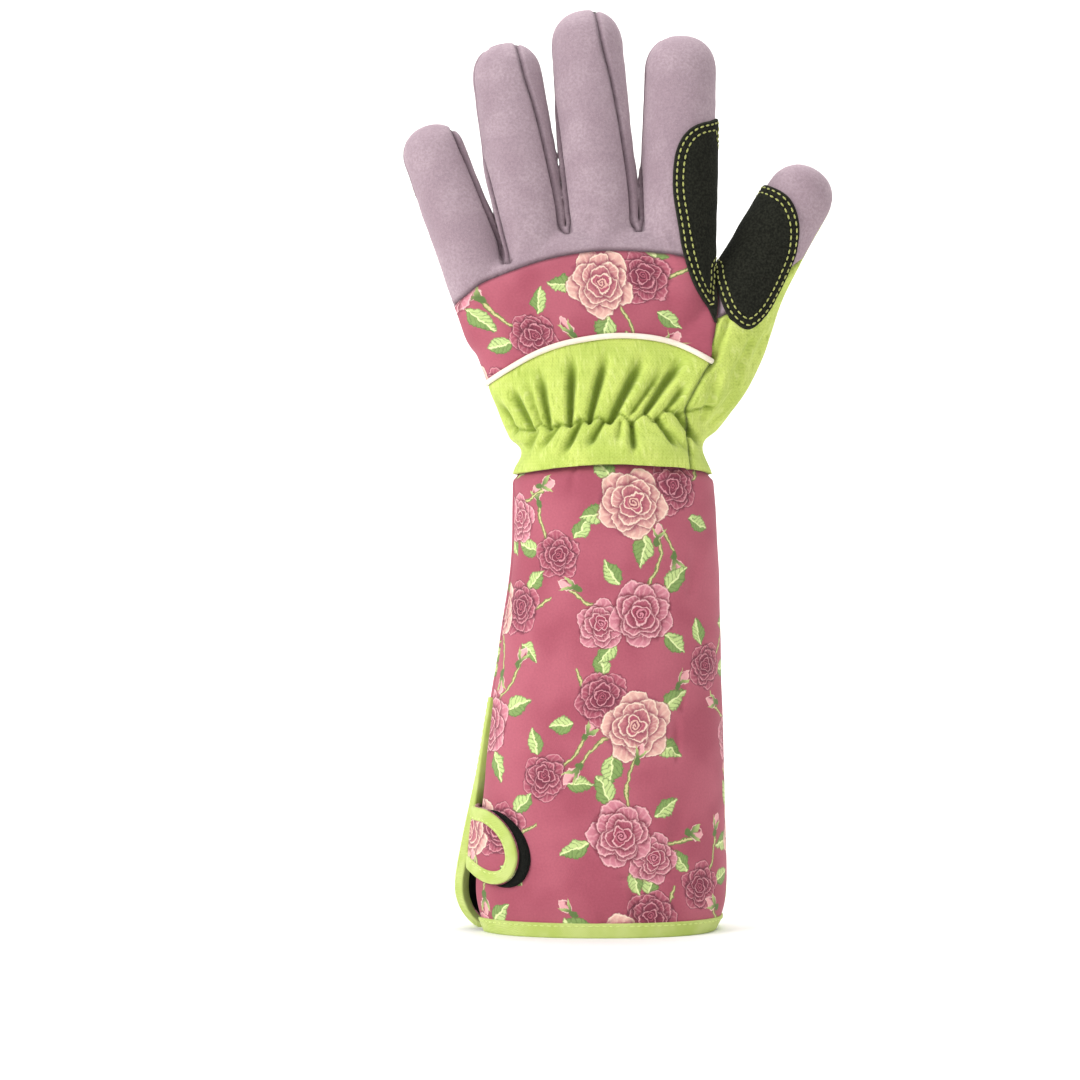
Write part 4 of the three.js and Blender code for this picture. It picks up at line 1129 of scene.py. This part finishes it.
def print_finish():
    f = Print("rose_print", roughness=0.75, sheen=0.12, sheen_tint="#F4D8DC", specular=0.25)
    u, v = f.cloth_place()
    flat = f.join(u, v)
    base = f.blend(f.noise(30, 2).ease(0.35, 0.65), "#9F4C5D", "#AE5B6B")
    sway, rise = f.noise(5, 4, flat, 0.62) - 0.5, f.noise(5, 4, f.join(v, u, 7.0), 0.62) - 0.5
    f.smudge = f.noise(2.4, 2, f.join(u, v, 3.0))
    x, y = u + sway * 4.4, v + rise * 4.4
    for seed, spray in enumerate(SPRAYS):
        base = f.spray(base, x, y, spray, seed + 3.0)
    base = f.shade(base, f.noise(0.9, 2, flat).times_plus(0.3, 0.86))
    # Painted shade along the seams, under the band's lower edge and where the print runs under the tab's
    # binding
    base = f.blend(f.kept_number("seam").ease(1.6, 0.1) * 0.55, base, "#5C2A38")
    twill = ((u + v * 1.7) * (2 * math.pi / 0.9)).sine()
    return f.done(base, twill * 0.6 + f.noise(0.8, 2) * 0.4, 0.3, 0.15)


SUEDE = suede_finish()
KNIT = knit_finish()
TAPE = lime_tape_finish()
BLACK = black_finish()
CREAM = cream_finish()
STITCH = thread_finish("lime_thread", "#C6C878", "#8E9448")
TAPE_STITCH = thread_finish("pale_thread", "#E3F0A0", "#B9CE62")
PILE_SHADOW = loop_pile_shadow_finish()
LINING = lining_finish()
PRINT = print_finish()


# The hand, cut into its panels
def side_of_fingers(co, finger=None):
    """Less than nothing behind the side seams, which follow a finger's curl. If no finger is named, it is the
    little one's own on the little finger and the middle one's elsewhere."""
    if finger is None:
        web, line = PARTINGS[0]
        little = (co[:, 0] < line(co[:, 2])) & (co[:, 2] > web[1])
        return np.where(little, side_of_fingers(co, FINGERS[0]), side_of_fingers(co, FINGERS[2]))
    axis = finger_axis(finger)
    return co[:, 1] - curl_at((co[:, 2] - axis["foot"][1]) / (axis["length"] * axis["up"][1]))


def side_of_thumb(co):
    shares = np.array((0, 1, 1.4))
    heights = [beside(THUMB_AXIS, share, 0)[1] for share in shares]
    return co[:, 1] - np.interp(co[:, 2], [0, *heights], [0, *thumb_forward(shares)])


thumb_region = thumbward(CROTCH_EDGE + BAND_EDGE)
lime_palm = thumbward(PALM_SEAM)
above_yoke, above_piping, above_thumb_seam = above(YOKE_EDGE), above(PIPING_EDGE), above(THUMB_SEAM)


def all_behind(co):
    return either(side_of_fingers(co), both(side_of_thumb(co), thumb_region(co)))


def fourchette(first, second):
    """The strip between two fingers: up the first one's thumb side, round the web, up the second one's."""
    a, b = finger_axis(first), finger_axis(second)
    web, line = parting(first, second)
    floor = web_height(web[0]) - FOURCHETTE_DIP * PALM_LENGTH
    brim = web_height(web[0]) + FINGER_RADIUS
    top = web[1] + 1.3 * FINGER_LENGTH
    lap = FOURCHETTE_LAP * FINGER_RADIUS

    def middle(z, side):
        return line(z) + side, z

    def strip(axis, shares, sign):
        edge = [beside(axis, at, sign * side * FINGER_RADIUS) for at, side in zip(FOURCHETTE_SHARES, shares)]
        edge = curve(edge, steps=4)[::-1]
        return region(np.vstack([middle(edge[-1][1], sign * lap), middle(top, sign * lap), edge]))

    back_seam = [BACK_SEAM_FOOT, *(mix(first["seam"], BACK_SEAM_LOW, hold) for hold in BACK_SEAM_HOLD)]
    behind, ahead = strip(a, back_seam, 1), strip(b, PALM_SEAM_IN, -1)
    dip = region([middle(floor, -lap), middle(floor, lap), middle(brim, 0.1), middle(brim, -0.1)])

    def level(co):
        side = side_of_fingers(co)
        aside = np.minimum(np.abs(co[:, 0] - line(co[:, 2])) / 2.6, 1.6)
        over_floor = floor + 2.4 * aside ** 2.5 - co[:, 2]
        return either(both(behind(co), over_floor, side - lap - 0.2 * FINGER_RADIUS),
                      both(ahead(co), over_floor, -side), dip(co))

    return level


hand = hand_form()
dress_form(hand)
under_patches = hand.copy()

PANELS = ("palm_panel", "back_panel", "finger_yoke", "wrist_band", "thumb_back", "gusset_back", "gusset_palm",
          "fourchette_little_ring", "fourchette_ring_middle", "fourchette_middle_index")
panel_of = hand.faces.layers.int.new("panel")


def divide(whole, part, level_at):
    """Cuts a part out of a panel, where the level is under nothing."""
    faces = [f for f in hand.faces if f[panel_of] == PANELS.index(whole)]
    verts = list(dict.fromkeys(v for f in faces for v in f.verts))
    cut_along(hand, verts, level_at(np.array([v.co[:] for v in verts])))
    faces = [f for f in hand.faces if f[panel_of] == PANELS.index(whole)]
    levels = level_at(middles(faces))
    for face, level in zip(faces, levels):
        if level < 0:
            face[panel_of] = PANELS.index(part)


for pair in zip(FINGERS, FINGERS[1:]):
    divide("palm_panel", f"fourchette_{pair[0]['name']}_{pair[1]['name']}", fourchette(*pair))
divide("palm_panel", "back_panel", all_behind)
divide("back_panel", "gusset_back", thumb_region)
divide("gusset_back", "thumb_back", above_thumb_seam)
divide("back_panel", "finger_yoke", above_yoke)
divide("back_panel", "wrist_band", lambda co: -above_piping(co))
divide("palm_panel", "gusset_palm", lime_palm)
gusset_parts = [PANELS.index("gusset_back"), PANELS.index("gusset_palm")]
for face in hand.faces:
    if face[panel_of] == gusset_parts[1]:
        face[panel_of] = gusset_parts[0]

seams = [e for e in hand.edges
         if len(e.link_faces) == 2 and e.link_faces[0][panel_of] != e.link_faces[1][panel_of]]
near_seam = distance_from(seams, places(hand))
move_out(hand, -SEAM_DEPTH * (1 - smooth(0, SEAM_WIDTH, near_seam)) ** 1.4)
# Kept for the finishes to paint shade along the seams
note(hand, "seam", np.minimum(near_seam, 6))


def arc_round(co):
    """How far round the hand a point lies from the middle of its back, in millimetres."""
    turns = np.linspace(-math.pi, math.pi, 721)
    section = hand_ring(0.35, turns - math.pi / 2)
    steps = np.linalg.norm(np.diff(section, axis=0), axis=1)
    length = np.concatenate([[0], np.cumsum(steps)])
    length -= length[360]
    middle = section[:, 0].mean()
    angles = np.unwrap(np.arctan2(section[:, 0] - middle, -section[:, 1]))
    x = co[:, 0] - along(HAND_ROWS, "up", "across", co[:, 2] / PALM_LENGTH) * PALM_WIDTH
    return np.interp(np.arctan2(x, -co[:, 1]), angles, length)


def lay_flat(bm, u, v):
    """Gives each point its place on the flat cloth."""
    layer = bm.loops.layers.uv.get("cloth") or bm.loops.layers.uv.new("cloth")
    flat = {vert: pair for vert, pair in zip(bm.verts, zip(u, v))}
    for face in bm.faces:
        for loop in face.loops:
            loop[layer].uv = flat[loop.vert]


def hand_panel(name, finish, source, slot, held="stretched"):
    part = hand.copy()
    mark = part.faces.layers.int["panel"]
    bmesh.ops.delete(part, geom=[f for f in part.faces if PANELS[f[mark]] != source], context="FACES")
    keep_largest(part)
    co = places(part)
    lay_flat(part, arc_round(co), co[:, 2])
    cut = cut_size(part, 2 if "fourchette" in name else 1, GATHER if held == "gathered" else 1)
    finish_piece(name, part, finish, slot, SUEDE_WALL, held, cut)


for name in ("palm_panel", "finger_yoke", "thumb_back", "fourchette_little_ring", "fourchette_ring_middle",
             "fourchette_middle_index"):
    hand_panel(name, SUEDE, name, "suede")
hand_panel("back_panel", PRINT, "back_panel", "rose_print")
hand_panel("wrist_band", KNIT, "wrist_band", "lime_knit", "gathered")
hand_panel("thumb_gusset", KNIT, "gusset_back", "lime_knit")


# The piping between the printed back and the gathered band
def back_of_hand(co):
    return both(side_of_fingers(co), -thumb_region(co))


def back_piping():
    height = above_piping(places(under_patches))
    runs = runs_along(under_patches, height, lambda co: back_of_hand(co) < 0.5)
    points, normals, _ = max(runs, key=lambda run: len(run[0]))
    points, normals = even_run(points, normals, 1.5, calm=6)
    turns = np.linspace(0, 2 * math.pi, 12, endpoint=False)
    cord = [(PIPING_WIDTH / 2 * math.cos(t), 0.3 + 1.1 * math.sin(t)) for t in turns]
    finish_piece("back_piping", sweep(points, normals, cord), CREAM, "cream_piping")


back_piping()


# Wear patches: cloth shapes laid on the hand, their edges rolled down, with two rows of stitches. At its
# sides a tip patch sinks to SUNK, over SINK_WIDTH.
TIP_PATCH_SET_BACK = 2.2
SUNK = 0.1
SINK_WIDTH = 7


def finger_cap(finger):
    axis = finger_axis(finger)
    low = 1 + (FINGER_RADIUS - finger["cap"] * FINGER_LENGTH) / axis["length"]
    reach = FINGER_RADIUS + 4
    corners = [(low, -reach), (low, reach), (1.5, reach), (1.5, -reach)]
    return region([beside(axis, share, side) for share, side in corners])


def wear_patch(name, level_at, rows_at=None, depth_at=None):
    patch = kept(under_patches, level_at)
    keep_largest(patch)
    patch.normal_update()
    rim = distance_from(rim_of(patch), places(patch))
    flat = patch.copy()
    if depth_at:
        move_out(flat, (SUNK - GAP - PATCH_WALL) * (1 - smooth(0, SINK_WIDTH, depth_at(places(flat)))))
    roll = np.clip(1 - rim / 1.3, 0, 1)
    raised = GAP + PATCH_WALL * np.sqrt(1 - roll ** 2)
    raised -= 0.2 * sum(np.exp(-((rim - row) / 0.7) ** 2) for row in STITCH_ROWS)
    if depth_at:
        raised = mix(SUNK, raised, smooth(0, SINK_WIDTH, depth_at(places(patch))))
    move_out(patch, raised)
    note(patch, "rim", np.minimum(rim, 12))
    finish_piece(name, patch, BLACK, "black_cloth", PATCH_WALL * 0.8, "laid")
    threads = bmesh.new()
    spots = places(flat)
    rows = rim if rows_at is None else -rows_at(spots)
    for row in STITCH_ROWS:
        fits = None if rows_at is None else (lambda c: level_at(c) < -1.2)
        for points, normals, _ in runs_along(flat, rows - row, fits):
            lay_stitches(threads, points, normals, rise=GAP + PATCH_WALL - 0.05)
    flat.free()
    finish_piece(f"{name}_stitches", threads, STITCH)


def folded_patch(back, palm, side_at):
    def level(co):
        return either(both(back(co), side_at(co)), both(palm(co), -side_at(co)))
    return level


index_level = folded_patch(within(INDEX_PATCH_BACK), within(INDEX_PATCH_PALM), side_of_fingers)
thumb_level = folded_patch(within(THUMB_PATCH_BACK), within(THUMB_PATCH_PALM), side_of_thumb)
palm_level, slot_level, heel_level = within(PALM_PATCH), within(PALM_SLOT), within(HEEL_PATCH)


def palm_face(co):
    return 0.12 * PALM_DEPTH - side_of_fingers(co)


wear_patch("index_patch", lambda co: both(index_level(co), GAP / 2 - thumb_region(co)))
wear_patch("thumb_patch", lambda co: both(thumb_level(co), GAP / 2 + thumb_region(co)))
for finger in FINGERS:
    cap = finger_cap(finger)
    wear_patch(f"{finger['name']}_tip_patch",
               lambda co, f=finger, c=cap: both(c(co), TIP_PATCH_SET_BACK - side_of_fingers(co, f)), cap,
               lambda co, f=finger: side_of_fingers(co, f) - TIP_PATCH_SET_BACK)
wear_patch("palm_patch", lambda co: both(palm_level(co), -slot_level(co), palm_face(co)))
wear_patch("heel_patch", lambda co: both(heel_level(co), palm_face(co)))


# The cuff
CUFF_TURN = math.pi + 0.16


def cuff_place(turns, down, grow=0.0):
    """A point on the cuff: turns round from the thumb side, down is a share from its top to its hem."""
    c, s = np.cos(turns), np.sin(turns)
    half_width = mix(WRIST_WIDTH, HEM_WIDTH, along(CUFF_ROWS, "down", "flare", down)) / 2 + grow
    half_depth = mix(WRIST_DEPTH, HEM_DEPTH, along(CUFF_ROWS, "down", "deep", down)) / 2 + grow
    opened = smooth(1 - SLIT_LENGTH / CUFF_LENGTH, 1, down)
    rear = np.where(c < 0, smooth(-0.1, 0.02, s) * (1 - smooth(0.3, 0.7, s)), 0)
    side = signed_power(c, 2 / CUFF_SQUARENESS)
    drawn = np.where(c < 0, along(HEM_CORNERS, "down", "little", down) * (1 - 0.6 * smooth(0.05, 0.34, -s)),
                     along(HEM_CORNERS, "down", "thumb", down)) * HEM_WIDTH * side ** 3
    x = along(CUFF_ROWS, "down", "across", down) * HEM_WIDTH + half_width * side - drawn
    x = x - SLIT_FLARE * opened * rear
    y = half_depth * signed_power(s, 2 / CUFF_SQUARENESS)
    z = -WRIST_DROP - down * CUFF_LENGTH + 0 * x
    return np.stack([x, y, z], axis=-1)


def cuff_sheet(low_turn, high_turn, top, foot, across, rows, grow):
    """A piece of the cuff's surface as a fine grid, with its place on the flat cloth."""
    bm = bmesh.new()
    bmesh.ops.create_grid(bm, x_segments=across, y_segments=rows, size=0.5)
    grid = places(bm)
    turns = low_turn + (high_turn - low_turn) * (grid[:, 0] + 0.5)
    down = top + (foot - top) * (0.5 - grid[:, 1])
    placed = cuff_place(turns, down, grow)
    rounds = np.linspace(CUFF_TURN, CUFF_TURN + 2 * math.pi, 361)
    u = np.zeros(len(turns))
    for level in np.unique(down.round(6)):
        here = np.abs(down - level) < 1e-5
        steps = np.linalg.norm(np.diff(cuff_place(rounds, level), axis=0), axis=1)
        length = np.concatenate([[0], np.cumsum(steps)])
        u[here] = np.interp(turns[here], rounds, length) - np.interp(1.5 * math.pi, rounds, length)
    put_at(bm.verts, placed)
    lay_flat(bm, u, placed[:, 2])
    bm.normal_update()
    return bm


def soften_cuff(bm, near_top):
    co = places(bm)
    facing = np.array([v.normal.y for v in bm.verts])
    back, palm = smooth(0.02, 0.4, -facing), smooth(0.02, 0.4, facing)
    amount = -1.5 * fold_depths(co, CUFF_FOLDS, back) - fold_depths(co, CUFF_PALM_FOLDS, palm)
    amount += 0.5 * softness(co, 60, 21) + 0.16 * softness(co, 22, 5)
    amount -= 2.4 * (1 - smooth(0, 4.0, near_top)) ** 1.5
    return amount


def slit_wedge(shift):
    top, foot = SLIT_LENGTH - CUFF_LENGTH - WRIST_DROP, -CUFF_LENGTH - WRIST_DROP - 3
    wedge = region([(SLIT_TOP[0] * SLIT_GAPE, top), (SLIT_FOOT[0] * SLIT_GAPE, foot),
                    (SLIT_FOOT[1] * SLIT_GAPE + shift, foot), (SLIT_TOP[1] * SLIT_GAPE + shift, top)], 1, 2)
    return lambda co: both(wedge(co), co[:, 0] + 20)


def gauntlet_cuff():
    cuff = cuff_sheet(CUFF_TURN, CUFF_TURN + 2 * math.pi, -0.018, 0.995, 216, 141, 0)
    bmesh.ops.remove_doubles(cuff, verts=cuff.verts, dist=1e-3)
    wedge = slit_wedge(1.5)
    cut_along(cuff, cuff.verts[:], wedge(places(cuff)))
    levels = wedge(middles(cuff.faces))
    bmesh.ops.delete(cuff, geom=[f for f, level in zip(cuff.faces[:], levels) if level < 0], context="FACES")
    keep_largest(cuff)
    cuff.normal_update()
    spots = places(cuff)
    under_band = band_edge(spots) - spots[:, 2]
    amount = soften_cuff(cuff, under_band)
    front_edge = [e for e in rim_of(cuff) if e.verts[0].co.y < -5.6
                  and -WRIST_DROP - 90 > e.verts[0].co.z > -WRIST_DROP - CUFF_LENGTH + 2]
    near_front = distance_from(front_edge, spots)
    amount -= 1.1 * (1 - smooth(0, 2.6, near_front)) ** 1.5
    seam_line = np.abs(spots[:, 1] - SLIT_TOP[1] * SLIT_GAPE) + 50 * (spots[:, 0] > 0)
    seam_gone = np.hypot(seam_line, np.maximum(0, -112 - spots[:, 2]))
    amount -= 1.0 * (1 - smooth(0, 2.0, seam_gone)) ** 1.4
    move_out(cuff, amount)
    # Painted shade on the print: near the slit's seam, along the front edge and under the band's lower edge
    near = np.minimum(np.minimum(seam_gone, near_front + 1.0), under_band + 0.3)
    note(cuff, "seam", np.minimum(np.maximum(near, 0), 6))
    finish_piece("gauntlet_cuff", cuff, [PRINT, LINING], "rose_print", CUFF_WALL, "stretched")


gauntlet_cuff()


def turn_at(y, down):
    """The turn where the cuff's little-finger side reaches y."""
    half_depth = mix(WRIST_DEPTH, HEM_DEPTH, along(CUFF_ROWS, "down", "deep", down)) / 2
    return math.pi - math.asin(signed_power(y / half_depth, CUFF_SQUARENESS / 2))


def cuff_out(turns, down):
    """The cuff's outward direction at a place on it."""
    ahead = cuff_place(turns + 0.01, down) - cuff_place(turns - 0.01, down)
    out = np.stack([ahead[..., 1], -ahead[..., 0], 0 * ahead[..., 0]], axis=-1)
    return out / np.linalg.norm(out, axis=-1, keepdims=True)


# Bindings: the hem, the slit's rear edge and the tab's edge
HEM_STEPS = 230
SLIT_STEPS = 90


def finish_binding(name, bm, points, width, wall):
    """A tape folded over the edge along the points. Its flat width is both its faces and the wall between."""
    length = np.linalg.norm(np.diff(points, axis=0), axis=1).sum() / 1000
    flat = (2 * width + wall) / 1000
    finish_piece(name, bm, TAPE, "lime_binding", held="folded", cut=((flat, length), flat * length))


def inward_of(points, normals):
    """The way from an edge into the cloth."""
    way = np.cross(normals, np.gradient(points, axis=0))
    return way / np.linalg.norm(way, axis=1)[:, None]


def hem_binding(threads):
    turns = np.linspace(turn_at(SLIT_FOOT[0] * SLIT_GAPE, 1.0), 3 * math.pi, HEM_STEPS)
    points, normals = cuff_place(turns, 1.0), cuff_out(turns, 1.0)
    section = bar(BINDING_WIDTH, (0.9, CUFF_WALL + 0.7), 0.6, corner=0.7, steps=4)
    hem = bmesh.new()
    loft(hem, np.stack([cuff_place(turns, 1 - a / CUFF_LENGTH) + normals * b for a, b in section], axis=1))
    bmesh.ops.recalc_face_normals(hem, faces=hem.faces)
    finish_binding("hem_binding", hem, points, BINDING_WIDTH, CUFF_WALL)
    row = cuff_place(turns, 1 - (BINDING_WIDTH - 1.2) / CUFF_LENGTH)
    lay_stitches(threads, row + normals * 0.9, normals, **BINDING_STITCH)


def slit_binding(threads):
    down = np.linspace(1.002, 1 - SLIT_LENGTH / CUFF_LENGTH - 0.012, SLIT_STEPS)
    share = np.clip((1 - down) * CUFF_LENGTH / SLIT_LENGTH, 0, 1)
    y = mix(SLIT_FOOT[1], SLIT_TOP[1], share) * SLIT_GAPE
    turns = np.array([turn_at(*pair) for pair in zip(y, down)])
    points, normals = cuff_place(turns, down), cuff_out(turns, down)
    section = bar(SLIT_BINDING, (0.85, CUFF_WALL + 0.6), 0.4, corner=0.75, steps=4)
    core = (SLIT_BINDING / 2, -CUFF_WALL / 2)
    sections = []
    for i, (point, normal, way) in enumerate(zip(points, normals, np.gradient(points, axis=0))):
        side = np.cross(normal, way / np.linalg.norm(way))
        size = math.sqrt(1 - (1 - min(1, (i + 0.3) / 4)) ** 2)
        sections.append([point + side * mix(core[0], a, size) + normal * mix(core[1], b, size)
                         for a, b in section])
    edge = bmesh.new()
    loft(edge, sections)
    bmesh.ops.recalc_face_normals(edge, faces=edge.faces)
    finish_binding("slit_binding", edge, points, SLIT_BINDING, CUFF_WALL)
    row = points + inward_of(points, normals) * (SLIT_BINDING - 1) + normals * 0.85
    lay_stitches(threads, row[8:], normals[8:], **BINDING_STITCH)


# The closing tab and the black loop pad that it grips, whose black shows right of and below the tab as its
# painted shadow
def tab_outline(shift=(0, 0)):
    x = TAB_PLACE[0] * HEM_WIDTH
    z = -WRIST_DROP - TAB_PLACE[1] * CUFF_LENGTH + 0.6
    return region(curve([(x + (a + shift[0]) * TAB_LENGTH, z - (d + shift[1]) * TAB_WIDTH * 0.93)
                         for a, d in TAB_OUTLINE], closed=True))


def to_root(co):
    """How far the tab's root is drawn in to lie under the slit's edge."""
    return 3.9 * smooth(-13, 1, co[:, 1])


tab_region, pad_shadow_region = tab_outline(), tab_outline(PAD_SHADOW_SHIFT)
TAB_TOP = GAP + PATCH_WALL + GAP + TAB_WALL


def tab_level(co):
    return both(tab_region(co), co[:, 1] - SLIT_BINDING)


def pad_shadow_level(co):
    return both(pad_shadow_region(co), co[:, 1] - SLIT_FOOT[0] * SLIT_GAPE + GAP)


# The pad's black beside the tab is painted shadow as well as loop pile
def loop_pad():
    pad = kept(cuff_sheet(math.pi, 1.5 * math.pi, 0.66, 0.96, 110, 76, 0), pad_shadow_level)
    keep_largest(pad)
    rim = distance_from(rim_of(pad), places(pad))
    note(pad, "rim", np.minimum(rim, 12))
    move_out(pad, GAP + PATCH_WALL * np.sqrt(1 - np.clip(1 - rim / 1.0, 0, 1) ** 2))
    finish_piece("loop_pad", pad, PILE_SHADOW, "loop_pile", PATCH_WALL * 0.8, "laid")


def closure_tab():
    """The tab, and the line along which its binding runs."""
    tab = kept(cuff_sheet(math.pi - 0.3, 1.5 * math.pi, 0.66, 0.94, 150, 90, TAB_TOP - 0.6), tab_level)
    keep_largest(tab)
    tab.normal_update()
    rim = distance_from(rim_of(tab), places(tab))
    runs = runs_along(tab, rim - 1.4, lambda co: co[:, 1] < SLIT_BINDING - 1.2)
    move_out(tab, 0.7 * smooth(0, 9, rim) - 0.5 * (1 - smooth(0, 1.5, rim)))
    for vert, inset in zip(tab.verts, to_root(places(tab))):
        vert.co.x += inset
    # Painted shade on the print where it runs under the tab's binding
    note(tab, "seam", np.clip(rim - TAB_BINDING, 0, 6))
    finish_piece("closure_tab", tab, [PRINT, LINING], "rose_print", TAB_WALL, "laid")
    points, normals, _ = max(runs, key=lambda run: len(run[0]))
    return points, normals


def tab_binding(threads, points, normals):
    points, normals = even_run(points, normals, 1.2, calm=8)
    points[:, 0] += to_root(points)
    way = np.cross(normals, np.gradient(points, axis=0))
    if (way * (points.mean(axis=0) - points)).sum() < 0:
        points, normals = points[::-1], normals[::-1]
    section = bar(TAB_BINDING - 0.5, (0.95, TAB_WALL + 0.35), 1.0, corner=0.75, steps=4)
    finish_binding("tab_binding", sweep(points, normals, section), points, TAB_BINDING - 0.7, TAB_WALL)
    row = points + inward_of(points, normals) * (TAB_BINDING - 1.6) + normals * 0.95
    lay_stitches(threads, row, normals, **BINDING_STITCH)


threads = bmesh.new()
hem_binding(threads)
slit_binding(threads)
loop_pad()
tab_binding(threads, *closure_tab())
finish_piece("binding_stitches", threads, TAPE_STITCH)


# Floor, light and camera
FLOOR_AT = -WRIST_DROP - CUFF_LENGTH - 0.6
FLOOR_SIDE = 4500
FLOOR_FRONT = -2200
FLOOR_LENGTH = 7600
FLOOR_BEND = 4200
BEND_RADIUS = 700
VIEW_DISTANCE = 1.4
VIEW_HALF_WIDTH = 0.2295

floor_mesh = bmesh.new()
bmesh.ops.create_grid(floor_mesh, x_segments=1, y_segments=76, size=1)
for vert in floor_mesh.verts:
    run = FLOOR_LENGTH * (vert.co.y + 1) / 2
    past = max(0.0, run - FLOOR_BEND)
    turn = min(past / BEND_RADIUS, math.pi / 2)
    vert.co = (vert.co.x * FLOOR_SIDE, FLOOR_FRONT + min(run, FLOOR_BEND) + BEND_RADIUS * math.sin(turn),
               FLOOR_AT + BEND_RADIUS * (1 - math.cos(turn)) + max(0.0, past - BEND_RADIUS * math.pi / 2))
for face in floor_mesh.faces:
    face.smooth = True
bmesh.ops.scale(floor_mesh, vec=(0.001, 0.001, 0.001), verts=floor_mesh.verts)
floor = mesh_object("floor", floor_mesh)
floor.data.materials.append(Finish("pale_floor", roughness=0.9, specular=0.1).done("#F4F3F1"))

world = bpy.data.worlds.new("studio")
bpy.context.scene.world = world
world.use_nodes = True
world.node_tree.nodes["Background"].inputs[0].default_value = (1, 1, 1, 1)
world.node_tree.nodes["Background"].inputs[1].default_value = 0.55


def soft_light(name, place, aim, size, power):
    data = bpy.data.lights.new(name, "AREA")
    data.shape = "RECTANGLE"
    data.size, data.size_y = size
    data.energy = power
    lamp = bpy.data.objects.new(name, data)
    lamp.location = place
    lamp.rotation_euler = (Vector(aim) - Vector(place)).to_track_quat("-Z", "Y").to_euler()
    bpy.context.scene.collection.objects.link(lamp)


soft_light("key_light", (-1.5, -1.0, 0.8), (0, 0, -0.03), (0.9, 1.2), 30)
soft_light("fill_light", (1.5, -1.4, 0.3), (0, 0, -0.03), (1.4, 1.4), 7)
soft_light("top_light", (0.1, 0.1, 1.7), (0, 0, 0), (1.4, 1.4), 12)
soft_light("backdrop_light", (0, 0.9, 2.0), (0, 2.4, 0.3), (3.0, 0.8), 60)

bpy.context.scene.view_settings.view_transform = "Standard"

camera_data = bpy.data.cameras.new("camera")
camera = bpy.data.objects.new("camera", camera_data)
bpy.context.scene.collection.objects.link(camera)
camera.location = (-0.0289, -VIEW_DISTANCE, -0.0425)
camera.rotation_euler = (math.pi / 2, 0, 0)
camera_data.sensor_fit = "HORIZONTAL"
camera_data.angle = 2 * math.atan(VIEW_HALF_WIDTH / VIEW_DISTANCE)
camera_data.clip_end = 50
bpy.context.scene.camera = camera

hand.free()
under_patches.free()
